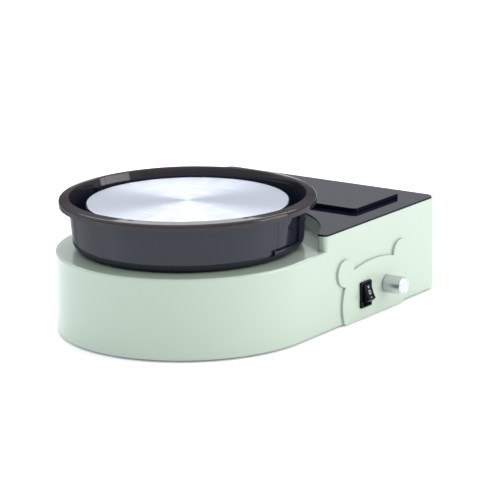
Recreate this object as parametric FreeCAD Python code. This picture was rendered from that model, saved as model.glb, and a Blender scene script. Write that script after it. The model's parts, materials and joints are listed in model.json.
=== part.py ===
"""Table-top pottery wheel: belt-driven aluminium head, two-part splash pan, drum body with a rear block.

Millimetres, +Z up. Pieces are modelled about the wheel axis, with the table at z = 0, the user at -Y and the
controls on the +X side. export() moves them all so that the origin is the bottom centre of the whole wheel.
"""

import FreeCAD
import Part

import math
import os

Vector = FreeCAD.Vector
X_AXIS = Vector(1, 0, 0)
Y_AXIS = Vector(0, 1, 0)
Z_AXIS = Vector(0, 0, 1)

# ---------------------------------------------------------------- driving dimensions
# Clearances
BODY_GAP = 0.3            # between pieces that move against each other
RUNNING_FIT = 0.05        # radial, shafts in plain holes and the belt on its pulleys
SCREW_FIT = 0.1           # radial, a screw in its hole
FIT_IN = 0.4              # a plate or plug inside its frame, each side

# Wheel head
HEAD_RADIUS = 79.1
HEAD_THICK = 6.0
HEAD_HEIGHT = 36.1        # the head's top above the drum
HEAD_CHAMFER = 0.8
GUIDE_RADII = (23.5, 26.0, 50.0)
GUIDE_WIDTH = 0.7
GUIDE_DEPTH = 0.3

# Splash pan, turned a little about the wheel axis, as it lies loose on the body
TROUGH = 13.6             # from the head's edge to the pan's outer wall, at the lip
PAN_WALL = 2.2
PAN_LIP = 7.7             # how far the lip overhangs the wall
LIP_THICK = 2.2
LIP_HEIGHT = 6.7
PAN_DEPTH = 41.6
LIP_DROP = 1.2            # fall of the lip's top face towards its outer edge
PAN_DRAFT = 2.2           # wall radius lost from lip to floor
PAN_FILLET = 8.0
PAN_TURN = -5.3           # degrees
SEAM_Y = 3.0              # the halves meet on this line, behind the wheel axis
COLLAR_HEIGHT = 3.8       # above the floor; low, so that the rear half can be lifted over the deck
COLLAR_WALL = 2.5
COLLAR_GAP = 2.5          # pan collar to the body's spigot
GRIP_FRONT = -3.0         # finger recess in the wall beside each seam
GRIP_REAR = 33.5
GRIP_LIFT = 8.9           # heights of the recess and its notch above the pan's underside
GRIP_DEPTH = 2.0
NOTCH_FRONT = -8.2
NOTCH_LIFT = 5.4
NOTCH_HEIGHT = 6.9
TONGUE_LAP = 6.0          # floor tongue of the rear half over the front half
TONGUE_THICK = 1.6

# Body
ARC_CLEARANCE = 2.6       # pan lip to the rear block's concave wall
HORN_MARGIN = 1.0         # body side wall outside that concave wall
BLOCK_LENGTH = 92.2       # rear wall behind the drum's own radius
WALL = 3.0
BODY_BOTTOM = 2.0
DRUM_TOP = 64.8
BLOCK_STEP = 11.9         # the rear block's top above the drum
DRUM_EDGE = 2.0
REAR_CORNER = 5.5
HORN_START = 38.0
HORN_ROUND = 3.8
SPIGOT_RADIUS = 15.0
SPIGOT_HEIGHT = 9.2
DECK_THICK = 1.5
DECK_EDGE = 0.4
DECK_CORNER = 8.5          # a little rounder than the shell below it

# Tool compartment in the rear block, under a lift-off lid
LID_FRONT_GAP = 8.0       # from the concave wall to the lid
LID_REAR_GAP = 20.2       # from the rear wall to the lid
LID_SIDE_GAP = 21.4       # from the side walls to the lid
LID_THICK = 3.0
LID_CORNER = 4.5
LID_LAP = 7.5             # the lid's overlap on the deck round the opening
LID_SKIRT = 3.5
LID_SKIRT_WALL = 2.0
TRAY_WALL = 2.0
TRAY_FLANGE = 5.0
TRAY_OVER_MOTOR = 3.0

# Base
PLATE_THICK = 1.5
PLATE_BOTTOM = 2.4
FOOT_RADIUS = 8.0
POST_RADIUS = 4.0         # screw posts moulded in the shell
POST_HEIGHT = 16.0
BASE_SCREW = 1.5
BASE_SCREW_HEAD = 2.9
BASE_SCREW_LENGTH = 10.0

# Drive frame
FRAME_BOTTOM = 24.0
FRAME_THICK = 3.0
FRAME_MARGIN = 8.0
FRAME_CORNER = 8.0
PILLAR_RADIUS = 5.0
PILLAR_CLEARANCE = 8.0    # belt to the nearest pillar
PILLAR_ANGLE = 50.0       # degrees from the front-to-rear line
PAN_HEAD_RADIUS = 2.9
PAN_HEAD_HEIGHT = 2.0
MACHINE_SCREW = 1.5
SLOT_DEPTH = 0.8

# Spindle and bearings (12 x 28 x 8 ball bearings)
SPINDLE_RADIUS = 6.0
SPINDLE_BOTTOM = 5.5
SHOULDER_STEP = 1.5
SHOULDER_BELOW_SPIGOT = 2.0
BEARING_RADIUS = 14.0
BEARING_WIDTH = 8.0
BEARING_RING = 2.4
BALL_RADIUS = 2.35
BALL_COUNT = 8
HOUSING_WALL = 4.0
HOUSING_FLANGE = 34.0
HOUSING_FLANGE_THICK = 4.0
HOUSING_CLEARANCE = 0.8   # under the drum's top wall
HOUSING_SCREW_RADIUS = 28.0

# Belt drive
DRIVEN_RADIUS = 54.0
MOTOR_PULLEY_RADIUS = 9.0
BELT_CENTRES = 135.0
BELT_THICK = 1.5
BELT_WIDTH = 8.0
BELT_BOTTOM = 10.0
PULLEY_RIM = 4.0
PULLEY_FLANGE = 1.0
FLANGE_RISE = 2.0
PULLEY_WEB = 3.0
PULLEY_HUB_RADIUS = 12.0
WINDOW_RIM = 5.0          # web left outside and inside the pulley's six windows
SPOKE_WIDTH = 3.0         # web left between two windows
CIRCLIP_THICK = 1.0
CIRCLIP_DEPTH = 0.5
CIRCLIP_RISE = 2.5

# Motor
MOTOR_RADIUS = 21.0
MOTOR_HEIGHT = 20.0
MOTOR_WALL = 1.5
MOTOR_FLOOR = 2.5
MOTOR_CAP = 3.0
MOTOR_SHAFT = 2.5
MAGNET_THICK = 3.8
AIR_GAP = 0.7
MOTOR_SCREW_RADIUS = 12.5

# Wheel hub under the head
HUB_FLANGE = 30.0
HUB_FLANGE_THICK = 4.0
HUB_RADIUS = 12.5
HUB_ABOVE_SPIGOT = 3.0
HUB_END_WALL = 2.9
HUB_SCREW_RADIUS = 22.0
HUB_SCREW_GRIP = 3.0

# Control panel on the +X wall
PANEL_THICK = 2.0
PANEL_BOTTOM = 0.8
PANEL_CENTRE_Y = 102.15
PANEL_BROW_Z = 46.1
PANEL_BROW_DROP = 3.2
PANEL_BROW_HALF = 27.9
PANEL_HALF_BOTTOM = 41.5
PANEL_HALF_WIDEST = 44.5
PANEL_WIDEST_Z = 18.0
PANEL_HALF_NECK = 40.4
PANEL_NECK_Z = 32.0
PANEL_CORNER = 3.5
EAR_RADIUS = 11.0
EAR_OFFSET = 39.55
EAR_Z = 42.6

# Rocker switch
SWITCH_Y = 88.3
SWITCH_Z = 20.5
BEZEL_HEIGHT = 21.0
BEZEL_WIDTH = 15.0
BEZEL_PROUD = 1.9
SWITCH_BODY_HEIGHT = 18.8
SWITCH_BODY_WIDTH = 12.8
SWITCH_DEPTH = 18.0
SWITCH_WELL_DEPTH = 9.8
ROCKER_HALF_HEIGHT = 7.7  # at its shoulders
ROCKER_SHOULDER = 4.5     # shoulders in front of the pivot
ROCKER_HALF_FACE = 6.2    # half height of the dished face
ROCKER_HALF_WIDTH = 4.8
ROCKER_END = 7.4
ROCKER_WAIST = 6.9
ROCKER_BACK = 3.0
ROCKER_HALF_BACK = 7.0
ROCKER_TILT = 20.0        # degrees either side of the middle position
ROCKER_PIVOT_BACK = 3.9   # pivot behind the bezel's face
ROCKER_PIN = 1.2
SWITCH_TERMINAL = 7.0

# Speed control
POT_Y = 119.7
POT_Z = 21.9
POT_RADIUS = 8.2
POT_DEPTH = 9.0
POT_BUSH = 3.5
POT_SHAFT = 3.0
POT_NUT_HEX = 5.0
POT_NUT_THICK = 2.0
POT_LUG = 6.0             # solder lugs behind the wall's inner face
KNOB_RADIUS = 7.2
KNOB_LENGTH = 16.0
KNOB_GAP = 0.5
KNOB_END_WALL = 3.0
KNOB_RECESS = 6.2

# Power inlet on the rear wall
INLET_Z = 24.0
INLET_FLANGE = 7.0
INLET_FLANGE_THICK = 2.0
INLET_BARREL = 5.5
INLET_DEPTH = 15.0
INLET_SOCKET = 2.8
INLET_SOCKET_DEPTH = 10.0
INLET_PIN = 1.05
INLET_NUT_HEX = 7.5
INLET_NUT_THICK = 2.5

# Controller board
BOARD_FRONT = 66.0
BOARD_LENGTH = 92.0
BOARD_WIDTH = 25.0
BOARD_THICK = 1.6
BOARD_FROM_WALL = 6.0
BOARD_POST_HEIGHT = 5.0
WIRE_RADIUS = 1.3
WIRE_BEND = 7.0
LEAD_SPREAD = 6.0         # outermost leads on the plug, either side of its middle
LEAD_CLEARANCE = 4.0      # leads past the drive frame's edge

# ---------------------------------------------------------------- values worked out from them
HEAD_TOP = DRUM_TOP + HEAD_HEIGHT
HEAD_BOTTOM = HEAD_TOP - HEAD_THICK
PAN_WALL_RADIUS = HEAD_RADIUS + TROUGH
RIM_RADIUS = PAN_WALL_RADIUS + PAN_LIP
ARC_RADIUS = RIM_RADIUS + ARC_CLEARANCE
BODY_RADIUS = ARC_RADIUS + HORN_MARGIN
BODY_REAR = BODY_RADIUS + BLOCK_LENGTH
BLOCK_TOP = DRUM_TOP + BLOCK_STEP
DECK_TOP = BLOCK_TOP + DECK_THICK
SPIGOT_TOP = DRUM_TOP + SPIGOT_HEIGHT
PAN_BOTTOM = DRUM_TOP + BODY_GAP
PAN_TOP = PAN_BOTTOM + PAN_DEPTH
LIP_BOTTOM = PAN_TOP - LIP_HEIGHT
GRIP_BOTTOM = PAN_BOTTOM + GRIP_LIFT
NOTCH_BOTTOM = PAN_BOTTOM + NOTCH_LIFT
NOTCH_TOP = NOTCH_BOTTOM + NOTCH_HEIGHT
PAN_FLOOR = PAN_BOTTOM + PAN_WALL
PANEL_FACE = BODY_RADIUS + PANEL_THICK
PLATE_TOP = PLATE_BOTTOM + PLATE_THICK
FRAME_TOP = FRAME_BOTTOM + FRAME_THICK
BELT_TOP = BELT_BOTTOM + BELT_WIDTH
MOTOR_TOP = FRAME_TOP + MOTOR_HEIGHT + MOTOR_CAP
PILLAR_REACH = DRIVEN_RADIUS + FLANGE_RISE + PILLAR_CLEARANCE + PILLAR_RADIUS
PILLAR_X = PILLAR_REACH * math.sin(math.radians(PILLAR_ANGLE))
FRAME_SIDE = PILLAR_X + FRAME_MARGIN
PILLAR_Y = PILLAR_REACH * math.cos(math.radians(PILLAR_ANGLE))
COLLAR_INNER = SPIGOT_RADIUS + COLLAR_GAP
SHOULDER_RADIUS = SPINDLE_RADIUS + SHOULDER_STEP
HOUSING_TOP = DRUM_TOP - WALL - HOUSING_CLEARANCE
HUB_BOTTOM = SPIGOT_TOP + HUB_ABOVE_SPIGOT
SPINDLE_IN_HUB = HEAD_BOTTOM - HUB_END_WALL
BOARD_LEFT = -(BODY_RADIUS - WALL - BOARD_FROM_WALL)
INLET_X = BOARD_LEFT + BOARD_WIDTH / 2 + LEAD_SPREAD
REACH_RIGHT = PANEL_FACE + KNOB_GAP + KNOB_LENGTH
REACH_REAR = BODY_REAR + INLET_FLANGE_THICK
TO_ORIGIN = Vector((BODY_RADIUS - REACH_RIGHT) / 2, (BODY_RADIUS - REACH_REAR) / 2, 0)


# ---------------------------------------------------------------- helpers
def cyl(radius, z0, z1, x=0, y=0):
    return Part.makeCylinder(radius, z1 - z0, Vector(x, y, z0))


def ring(outer, inner, z0, z1, x=0, y=0):
    return cyl(outer, z0, z1, x, y).cut(cyl(inner, z0 - 1, z1 + 1, x, y))


def rod_x(radius, x0, x1, y, z):
    return Part.makeCylinder(radius, x1 - x0, Vector(x0, y, z), X_AXIS)


def rod_y(radius, y0, y1, x, z):
    return Part.makeCylinder(radius, y1 - y0, Vector(x, y0, z), Y_AXIS)


def block(x0, x1, y0, y1, z0, z1):
    return Part.makeBox(x1 - x0, y1 - y0, z1 - z0, Vector(x0, y0, z0))


def along(shape, direction):
    """The edges of a shape that are straight and run along a direction."""
    edges = []
    for edge in shape.Edges:
        straight = isinstance(edge.Curve, Part.Line)
        if straight and abs(edge.tangentAt(edge.FirstParameter).dot(direction)) > 0.999:
            edges.append(edge)
    return edges


def same(a, b):
    return abs(a - b) < 1e-4


def at_height(shape, z):
    """The edges of a shape that lie in the plane at height z."""
    return [e for e in shape.Edges if same(e.BoundBox.ZMin, z) and same(e.BoundBox.ZMax, z)]


def at_x(shape, x):
    """The edges of a shape that lie in the plane at a given x."""
    return [e for e in shape.Edges if same(e.BoundBox.XMin, x) and same(e.BoundBox.XMax, x)]


def rounded_block(x0, x1, y0, y1, z0, z1, radius):
    solid = block(x0, x1, y0, y1, z0, z1)
    return solid.makeFillet(radius, along(solid, Z_AXIS))


def hexagon(across, z0, z1, x=0, y=0):
    """An upright hexagonal prism; across is half its width across flats."""
    corner = across / math.cos(math.radians(30))
    points = []
    for a in range(0, 361, 60):
        angle = math.radians(a)
        points.append(Vector(x + corner * math.cos(angle), y + corner * math.sin(angle), z0))
    return Part.Face(Part.makePolygon(points)).extrude(Vector(0, 0, z1 - z0))


def lie_along_x(shape, x, y, z):
    """Turns an upright shape built about the origin onto the +X direction and moves it."""
    turned = shape.copy()
    turned.rotate(Vector(0, 0, 0), Y_AXIS, 90)
    turned.translate(Vector(x, y, z))
    return turned


def lie_along_y(shape, x, y, z):
    """Turns an upright shape built about the origin onto the +Y direction and moves it."""
    turned = shape.copy()
    turned.rotate(Vector(0, 0, 0), X_AXIS, -90)
    turned.translate(Vector(x, y, z))
    return turned


def revolved(points):
    """A solid of revolution about the wheel axis. A point of four numbers is an arc: its middle, its end."""
    start = Vector(points[0][0], 0, points[0][1])
    here = start
    edges = []
    for point in points[1:] + [points[0]]:
        end = Vector(point[-2], 0, point[-1])
        if len(point) == 4:
            edges.append(Part.Arc(here, Vector(point[0], 0, point[1]), end).toShape())
        else:
            edges.append(Part.makeLine(here, end))
        here = end
    return Part.Face(Part.Wire(edges)).revolve(Vector(0, 0, 0), Z_AXIS, 360)


def quarter(centre_r, centre_z, radius, from_angle, to_angle):
    """The middle and end of an arc in the r, z plane, for revolved()."""
    middle = math.radians((from_angle + to_angle) / 2)
    end = math.radians(to_angle)
    return (centre_r + radius * math.cos(middle), centre_z + radius * math.sin(middle),
            centre_r + radius * math.cos(end), centre_z + radius * math.sin(end))


def pan_head_screw(x, y, seat, length, up):
    """A pan-head screw with its head on the face at height seat: on top if up is +1, below if it is -1."""
    if up > 0:
        crown = seat + PAN_HEAD_HEIGHT
        head = cyl(PAN_HEAD_RADIUS, seat, crown, x, y)
        shank = cyl(MACHINE_SCREW, seat - length, seat, x, y)
    else:
        crown = seat - PAN_HEAD_HEIGHT
        head = cyl(PAN_HEAD_RADIUS, crown, seat, x, y)
        shank = cyl(MACHINE_SCREW, seat, seat + length, x, y)
    slot = block(x - 2, x + 2, y - 0.4, y + 0.4, crown - SLOT_DEPTH, crown + SLOT_DEPTH)
    return head.fuse(shank).cut(slot)


def holes(solid, places, radius, z0, z1):
    for x, y in places:
        solid = solid.cut(cyl(radius, z0, z1, x, y))
    return solid


def on_circle(count, radius, first=0.0, x=0.0, y=0.0):
    places = []
    for i in range(count):
        angle = math.radians(first + i * 360.0 / count)
        places.append((x + radius * math.cos(angle), y + radius * math.sin(angle)))
    return places


def export(name, *solids):
    placed = []
    for solid in solids:
        copy = solid.copy()
        copy.translate(TO_ORIGIN)
        placed.extend(copy.Solids)
    shape = placed[0] if len(placed) == 1 else Part.makeCompound(placed)
    shape.exportStep("parts/" + name + ".step")


# ---------------------------------------------------------------- body
def d_outline(radius, rear, corner, z0, z1):
    """A drum of the given radius that runs straight back to a rear wall with rounded corners."""
    back = block(-radius, radius, 0, rear, z0, z1)
    rear_edges = [e for e in along(back, Z_AXIS) if e.BoundBox.YMin > rear / 2]
    return cyl(radius, z0, z1).fuse(back.makeFillet(corner, rear_edges)).removeSplitter()


def block_outline(inset, z0, z1, corner=REAR_CORNER):
    """The rear block: its front is a concave arc round the pan, which ends in two rounded horns."""
    side = BODY_RADIUS - inset
    rear = BODY_REAR - inset
    front = HORN_START + inset
    solid = block(-side, side, front, rear, z0, z1).cut(cyl(ARC_RADIUS + inset, z0 - 1, z1 + 1))
    upright = [e for e in along(solid, Z_AXIS) if e.BoundBox.YMin > rear / 2]
    solid = solid.makeFillet(max(corner - inset, 0.5), upright)
    if inset == 0:
        tips = [e for e in along(solid, Z_AXIS) if e.BoundBox.YMin < front + 0.1]
        solid = solid.makeFillet(HORN_ROUND, tips)
    return solid


def base_screw_places():
    """Where the base plate is screwed to the shell: three round the drum, two on each side wall."""
    reach = BODY_RADIUS - WALL - POST_RADIUS + 0.8
    drum = [(reach * math.cos(math.radians(a)), reach * math.sin(math.radians(a))) for a in (-150, -90, -30)]
    sides = [(side * reach, y) for side in (-1, 1) for y in (PANEL_CENTRE_Y - 48, BODY_REAR - 18)]
    return drum + sides


def lid_rectangle(inset):
    side = BODY_RADIUS - LID_SIDE_GAP - inset
    return -side, side, ARC_RADIUS + LID_FRONT_GAP + inset, BODY_REAR - LID_REAR_GAP - inset


def make_body_shell():
    low = d_outline(BODY_RADIUS, BODY_REAR, REAR_CORNER, BODY_BOTTOM, DRUM_TOP)
    low = low.makeFillet(DRUM_EDGE, at_height(low, DRUM_TOP))
    high = block_outline(0, DRUM_TOP - 2 * DRUM_EDGE, BLOCK_TOP)
    inner_low = d_outline(BODY_RADIUS - WALL, BODY_REAR - WALL, REAR_CORNER - WALL + 0.5,
                          BODY_BOTTOM - 1, DRUM_TOP - WALL)
    inner_high = block_outline(WALL, DRUM_TOP - 2 * WALL, BLOCK_TOP - WALL)
    shell = low.fuse(high).cut(inner_low).cut(inner_high)
    shell = shell.fuse(cyl(SPIGOT_RADIUS, DRUM_TOP - WALL, SPIGOT_TOP))
    shell = shell.cut(cyl(SHOULDER_RADIUS + 2, DRUM_TOP - WALL - 1, SPIGOT_TOP + 1))
    post_top = PLATE_TOP + POST_HEIGHT
    inner = d_outline(BODY_RADIUS - WALL / 2, BODY_REAR - WALL / 2, REAR_CORNER, PLATE_TOP, post_top)
    for x, y in base_screw_places():
        post = cyl(POST_RADIUS, PLATE_TOP, post_top, x, y).common(inner)
        shell = shell.fuse(post).cut(cyl(BASE_SCREW + SCREW_FIT, PLATE_TOP - 1, post_top - 2, x, y))
    x0, x1, y0, y1 = lid_rectangle(LID_LAP - TRAY_WALL)
    shell = shell.cut(rounded_block(x0, x1, y0, y1, BLOCK_TOP - WALL - 1, BLOCK_TOP + 1, LID_CORNER))
    half_high = SWITCH_BODY_HEIGHT / 2 + SCREW_FIT
    half_wide = SWITCH_BODY_WIDTH / 2 + SCREW_FIT
    wall_x = BODY_RADIUS - WALL - 1
    shell = shell.cut(block(wall_x, BODY_RADIUS + 1, SWITCH_Y - half_wide, SWITCH_Y + half_wide,
                            SWITCH_Z - half_high, SWITCH_Z + half_high))
    shell = shell.cut(rod_x(POT_BUSH + SCREW_FIT, wall_x, BODY_RADIUS + 1, POT_Y, POT_Z))
    shell = shell.cut(rod_y(INLET_BARREL + SCREW_FIT, BODY_REAR - WALL - 1, BODY_REAR + 1, INLET_X, INLET_Z))
    return shell.removeSplitter()


def make_deck():
    deck = block_outline(0, BLOCK_TOP, DECK_TOP, DECK_CORNER)
    deck = deck.makeFillet(DECK_EDGE, at_height(deck, DECK_TOP))
    x0, x1, y0, y1 = lid_rectangle(LID_LAP)
    return deck.cut(rounded_block(x0, x1, y0, y1, BLOCK_TOP - 1, DECK_TOP + 1, LID_CORNER))


def make_tray():
    x0, x1, y0, y1 = lid_rectangle(LID_LAP)
    bottom = MOTOR_TOP + TRAY_OVER_MOTOR
    wall = TRAY_WALL - BODY_GAP
    outer = rounded_block(x0 - wall, x1 + wall, y0 - wall, y1 + wall, bottom, BLOCK_TOP, LID_CORNER)
    reach = wall + TRAY_FLANGE
    flange = rounded_block(x0 - reach, x1 + reach, y0 - reach, y1 + reach,
                           BLOCK_TOP - WALL - TRAY_WALL, BLOCK_TOP - WALL, LID_CORNER)
    room = block_outline(WALL + BODY_GAP, BLOCK_TOP - WALL - TRAY_WALL - 1, BLOCK_TOP)
    inner = rounded_block(x0, x1, y0, y1, bottom + TRAY_WALL, BLOCK_TOP + 1, LID_CORNER)
    return outer.fuse(flange.common(room)).cut(inner).removeSplitter()


def make_lid():
    x0, x1, y0, y1 = lid_rectangle(0)
    bottom = DECK_TOP + BODY_GAP
    plate = rounded_block(x0, x1, y0, y1, bottom, bottom + LID_THICK, LID_CORNER)
    plate = plate.makeFillet(DECK_EDGE, at_height(plate, bottom + LID_THICK))
    x0, x1, y0, y1 = lid_rectangle(LID_LAP + FIT_IN)
    skirt = rounded_block(x0, x1, y0, y1, bottom - LID_SKIRT, bottom, LID_CORNER - FIT_IN)
    x0, x1, y0, y1 = lid_rectangle(LID_LAP + FIT_IN + LID_SKIRT_WALL)
    room = rounded_block(x0, x1, y0, y1, bottom - LID_SKIRT - 1, bottom, LID_CORNER - FIT_IN - LID_SKIRT_WALL)
    return plate.fuse(skirt.cut(room)).removeSplitter()


def make_base():
    """The base plate, its screws and the rubber feet stuck under it."""
    inset = WALL + FIT_IN
    corner = REAR_CORNER - WALL + 0.5
    plate = d_outline(BODY_RADIUS - inset, BODY_REAR - inset, corner, PLATE_BOTTOM, PLATE_TOP)
    screws = []
    for x, y in base_screw_places():
        head = Part.makeCone(BASE_SCREW_HEAD, BASE_SCREW, PLATE_THICK, Vector(x, y, PLATE_BOTTOM))
        hole = Part.makeCone(BASE_SCREW_HEAD + SCREW_FIT, BASE_SCREW + SCREW_FIT, PLATE_THICK,
                             Vector(x, y, PLATE_BOTTOM))
        plate = plate.cut(hole)
        shank = cyl(BASE_SCREW, PLATE_TOP, PLATE_BOTTOM + BASE_SCREW_LENGTH, x, y)
        cross = block(x - 1.5, x + 1.5, y - 0.35, y + 0.35, PLATE_BOTTOM - 1, PLATE_BOTTOM + 0.8)
        screws.append(head.fuse(shank).cut(cross))
    plate = holes(plate, frame_pillar_places(), MACHINE_SCREW + SCREW_FIT, PLATE_BOTTOM - 1, PLATE_TOP + 1)
    reach = BODY_RADIUS - 24
    places = [(0, -reach), (-reach, 0), (reach, 0), (-reach, BODY_REAR - 24), (reach, BODY_REAR - 24)]
    feet = []
    for x, y in places:
        foot = cyl(FOOT_RADIUS, 0, PLATE_BOTTOM, x, y)
        feet.append(foot.makeChamfer(0.8, at_height(foot, 0)))
    export("base_plate", plate)
    export("base_screws", *screws)
    export("rubber_feet", *feet)


# ---------------------------------------------------------------- drive frame
def frame_pillar_places():
    rows = (-PILLAR_Y, PILLAR_Y, BELT_CENTRES + MOTOR_RADIUS + PILLAR_RADIUS)
    return [(side * PILLAR_X, y) for y in rows for side in (-1, 1)]


def make_frame():
    """The steel plate that carries the bearings and the motor, on six hexagonal pillars."""
    places = frame_pillar_places()
    front = places[0][1] - FRAME_MARGIN
    rear = places[-1][1] + FRAME_MARGIN
    plate = rounded_block(-FRAME_SIDE, FRAME_SIDE, front, rear, FRAME_BOTTOM, FRAME_TOP, FRAME_CORNER)
    plate = plate.cut(cyl(BEARING_RADIUS - BEARING_RING, FRAME_BOTTOM - 1, FRAME_TOP + 1))
    plate = plate.cut(cyl(MOTOR_SHAFT + 2, FRAME_BOTTOM - 1, FRAME_TOP + 1, 0, BELT_CENTRES))
    housing_places = on_circle(4, HOUSING_SCREW_RADIUS, 45)
    motor_places = on_circle(4, MOTOR_SCREW_RADIUS, 45, 0, BELT_CENTRES)
    plate = holes(plate, places + housing_places + motor_places, MACHINE_SCREW + SCREW_FIT,
                  FRAME_BOTTOM - 1, FRAME_TOP + 1)
    export("frame_plate", plate)
    pillars = []
    screws = []
    for x, y in places:
        pillar = hexagon(PILLAR_RADIUS * 0.85, PLATE_TOP, FRAME_BOTTOM, x, y)
        for z0, z1 in ((PLATE_TOP - 1, PLATE_TOP + 8), (FRAME_BOTTOM - 8, FRAME_BOTTOM + 1)):
            pillar = pillar.cut(cyl(MACHINE_SCREW + SCREW_FIT, z0, z1, x, y))
        pillars.append(pillar)
        screws.append(pan_head_screw(x, y, FRAME_TOP, FRAME_THICK + 6, 1))
        screws.append(pan_head_screw(x, y, PLATE_BOTTOM, PLATE_THICK + 6, -1))
    export("frame_pillars", *pillars)
    export("frame_screws", *screws)


def make_bearing_housing():
    flange_top = FRAME_TOP + HOUSING_FLANGE_THICK
    housing = cyl(BEARING_RADIUS + HOUSING_WALL, FRAME_TOP, HOUSING_TOP)
    housing = housing.fuse(cyl(HOUSING_FLANGE, FRAME_TOP, flange_top))
    inside = BEARING_RADIUS - BEARING_RING + 0.6
    housing = housing.cut(cyl(inside, FRAME_TOP - 1, HOUSING_TOP + 1))
    housing = housing.cut(cyl(BEARING_RADIUS, FRAME_TOP - 1, FRAME_TOP + BEARING_WIDTH))
    housing = housing.cut(cyl(BEARING_RADIUS, HOUSING_TOP - BEARING_WIDTH, HOUSING_TOP + 1))
    places = on_circle(4, HOUSING_SCREW_RADIUS, 45)
    housing = holes(housing, places, MACHINE_SCREW + SCREW_FIT, FRAME_TOP - 1, flange_top + 1)
    export("bearing_housing", housing)
    grip = HOUSING_FLANGE_THICK + FRAME_THICK
    export("housing_screws", *[pan_head_screw(x, y, flange_top, grip, 1) for x, y in places])


def make_bearings():
    """Two deep-groove ball bearings; their rings turn apart, so the rings and balls are separate nodes."""
    pitch = (SPINDLE_RADIUS + BEARING_RADIUS) / 2
    outer_rings = []
    inner_rings = []
    balls = []
    for z0 in (FRAME_TOP, HOUSING_TOP - BEARING_WIDTH):
        middle = z0 + BEARING_WIDTH / 2
        race = Part.makeTorus(pitch, BALL_RADIUS + RUNNING_FIT, Vector(0, 0, middle))
        outer = ring(BEARING_RADIUS, BEARING_RADIUS - BEARING_RING, z0, z0 + BEARING_WIDTH)
        outer_rings.append(outer.cut(race))
        inner = ring(SPINDLE_RADIUS + BEARING_RING, SPINDLE_RADIUS, z0, z0 + BEARING_WIDTH)
        inner_rings.append(inner.cut(race))
        for x, y in on_circle(BALL_COUNT, pitch):
            balls.append(Part.makeSphere(BALL_RADIUS, Vector(x, y, middle)))
    export("bearing_outer_rings", *outer_rings)
    export("bearing_inner_rings", *inner_rings)
    export("bearing_balls", *balls)


def make_spindle():
    spindle = cyl(SPINDLE_RADIUS, SPINDLE_BOTTOM, SPINDLE_IN_HUB)
    spindle = spindle.fuse(cyl(SHOULDER_RADIUS, HOUSING_TOP, SPIGOT_TOP - SHOULDER_BELOW_SPIGOT))
    groove_top = BELT_BOTTOM - PULLEY_FLANGE
    groove = ring(SPINDLE_RADIUS + 1, SPINDLE_RADIUS - CIRCLIP_DEPTH, groove_top - CIRCLIP_THICK, groove_top)
    spindle = spindle.cut(groove)
    flat = block(SPINDLE_RADIUS - 0.8, SPINDLE_RADIUS + 1, -SPINDLE_RADIUS, SPINDLE_RADIUS,
                 HUB_BOTTOM + 1, SPINDLE_IN_HUB + 1)
    spindle = spindle.cut(flat)
    export("spindle", spindle.makeChamfer(0.6, at_height(spindle, SPINDLE_BOTTOM)))
    circlip = ring(SPINDLE_RADIUS + CIRCLIP_RISE, SPINDLE_RADIUS - CIRCLIP_DEPTH,
                   groove_top - CIRCLIP_THICK, groove_top)
    mouth = block(-1.5, 1.5, 0, SPINDLE_RADIUS * 2, groove_top - 5, groove_top + 5)
    export("spindle_circlip", circlip.cut(mouth))
    hub_top = BELT_TOP + PULLEY_FLANGE + 2
    export("spindle_spacer", ring(SPINDLE_RADIUS + BEARING_RING, SPINDLE_RADIUS, hub_top, FRAME_TOP))


def make_driven_pulley():
    bottom = BELT_BOTTOM - PULLEY_FLANGE
    top = BELT_TOP + PULLEY_FLANGE
    middle = (bottom + top) / 2
    pulley = ring(DRIVEN_RADIUS, DRIVEN_RADIUS - PULLEY_RIM, bottom, top)
    pulley = pulley.fuse(ring(DRIVEN_RADIUS + FLANGE_RISE, DRIVEN_RADIUS - 1, bottom, BELT_BOTTOM))
    pulley = pulley.fuse(ring(DRIVEN_RADIUS + FLANGE_RISE, DRIVEN_RADIUS - 1, BELT_TOP, top))
    half_web = PULLEY_WEB / 2
    pulley = pulley.fuse(cyl(DRIVEN_RADIUS - PULLEY_RIM / 2, middle - half_web, middle + half_web))
    pulley = pulley.fuse(cyl(PULLEY_HUB_RADIUS, bottom, top + 2))
    pulley = pulley.cut(cyl(SPINDLE_RADIUS, bottom - 1, top + 3))
    web_width = DRIVEN_RADIUS - PULLEY_RIM - PULLEY_HUB_RADIUS
    window_circle = PULLEY_HUB_RADIUS + web_width / 2
    window = min(web_width / 2 - WINDOW_RIM, window_circle / 2 - SPOKE_WIDTH / 2)
    places = on_circle(6, window_circle)
    return holes(pulley, places, window, bottom - 1, top + 1).removeSplitter()


def loop_solid(big, small, z0, z1):
    """The solid inside a loop round a circle on the wheel axis and one on the motor axis."""
    lean = math.asin((big - small) / BELT_CENTRES)
    corners = []
    for radius, y in ((big, 0), (small, BELT_CENTRES)):
        corners.append((radius * math.cos(lean), y + radius * math.sin(lean)))
    (bx, by), (sx, sy) = corners
    points = [Vector(bx, by, z0), Vector(sx, sy, z0), Vector(-sx, sy, z0), Vector(-bx, by, z0),
              Vector(bx, by, z0)]
    side = Part.Face(Part.makePolygon(points)).extrude(Vector(0, 0, z1 - z0))
    return side.fuse(cyl(big, z0, z1)).fuse(cyl(small, z0, z1, 0, BELT_CENTRES)).removeSplitter()


def make_belt():
    inner = loop_solid(DRIVEN_RADIUS + RUNNING_FIT, MOTOR_PULLEY_RADIUS + RUNNING_FIT,
                       BELT_BOTTOM - 1, BELT_TOP + 1)
    offset = RUNNING_FIT + BELT_THICK
    outer = loop_solid(DRIVEN_RADIUS + offset, MOTOR_PULLEY_RADIUS + offset,
                       BELT_BOTTOM + BODY_GAP, BELT_TOP - BODY_GAP)
    return outer.cut(inner)


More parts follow.
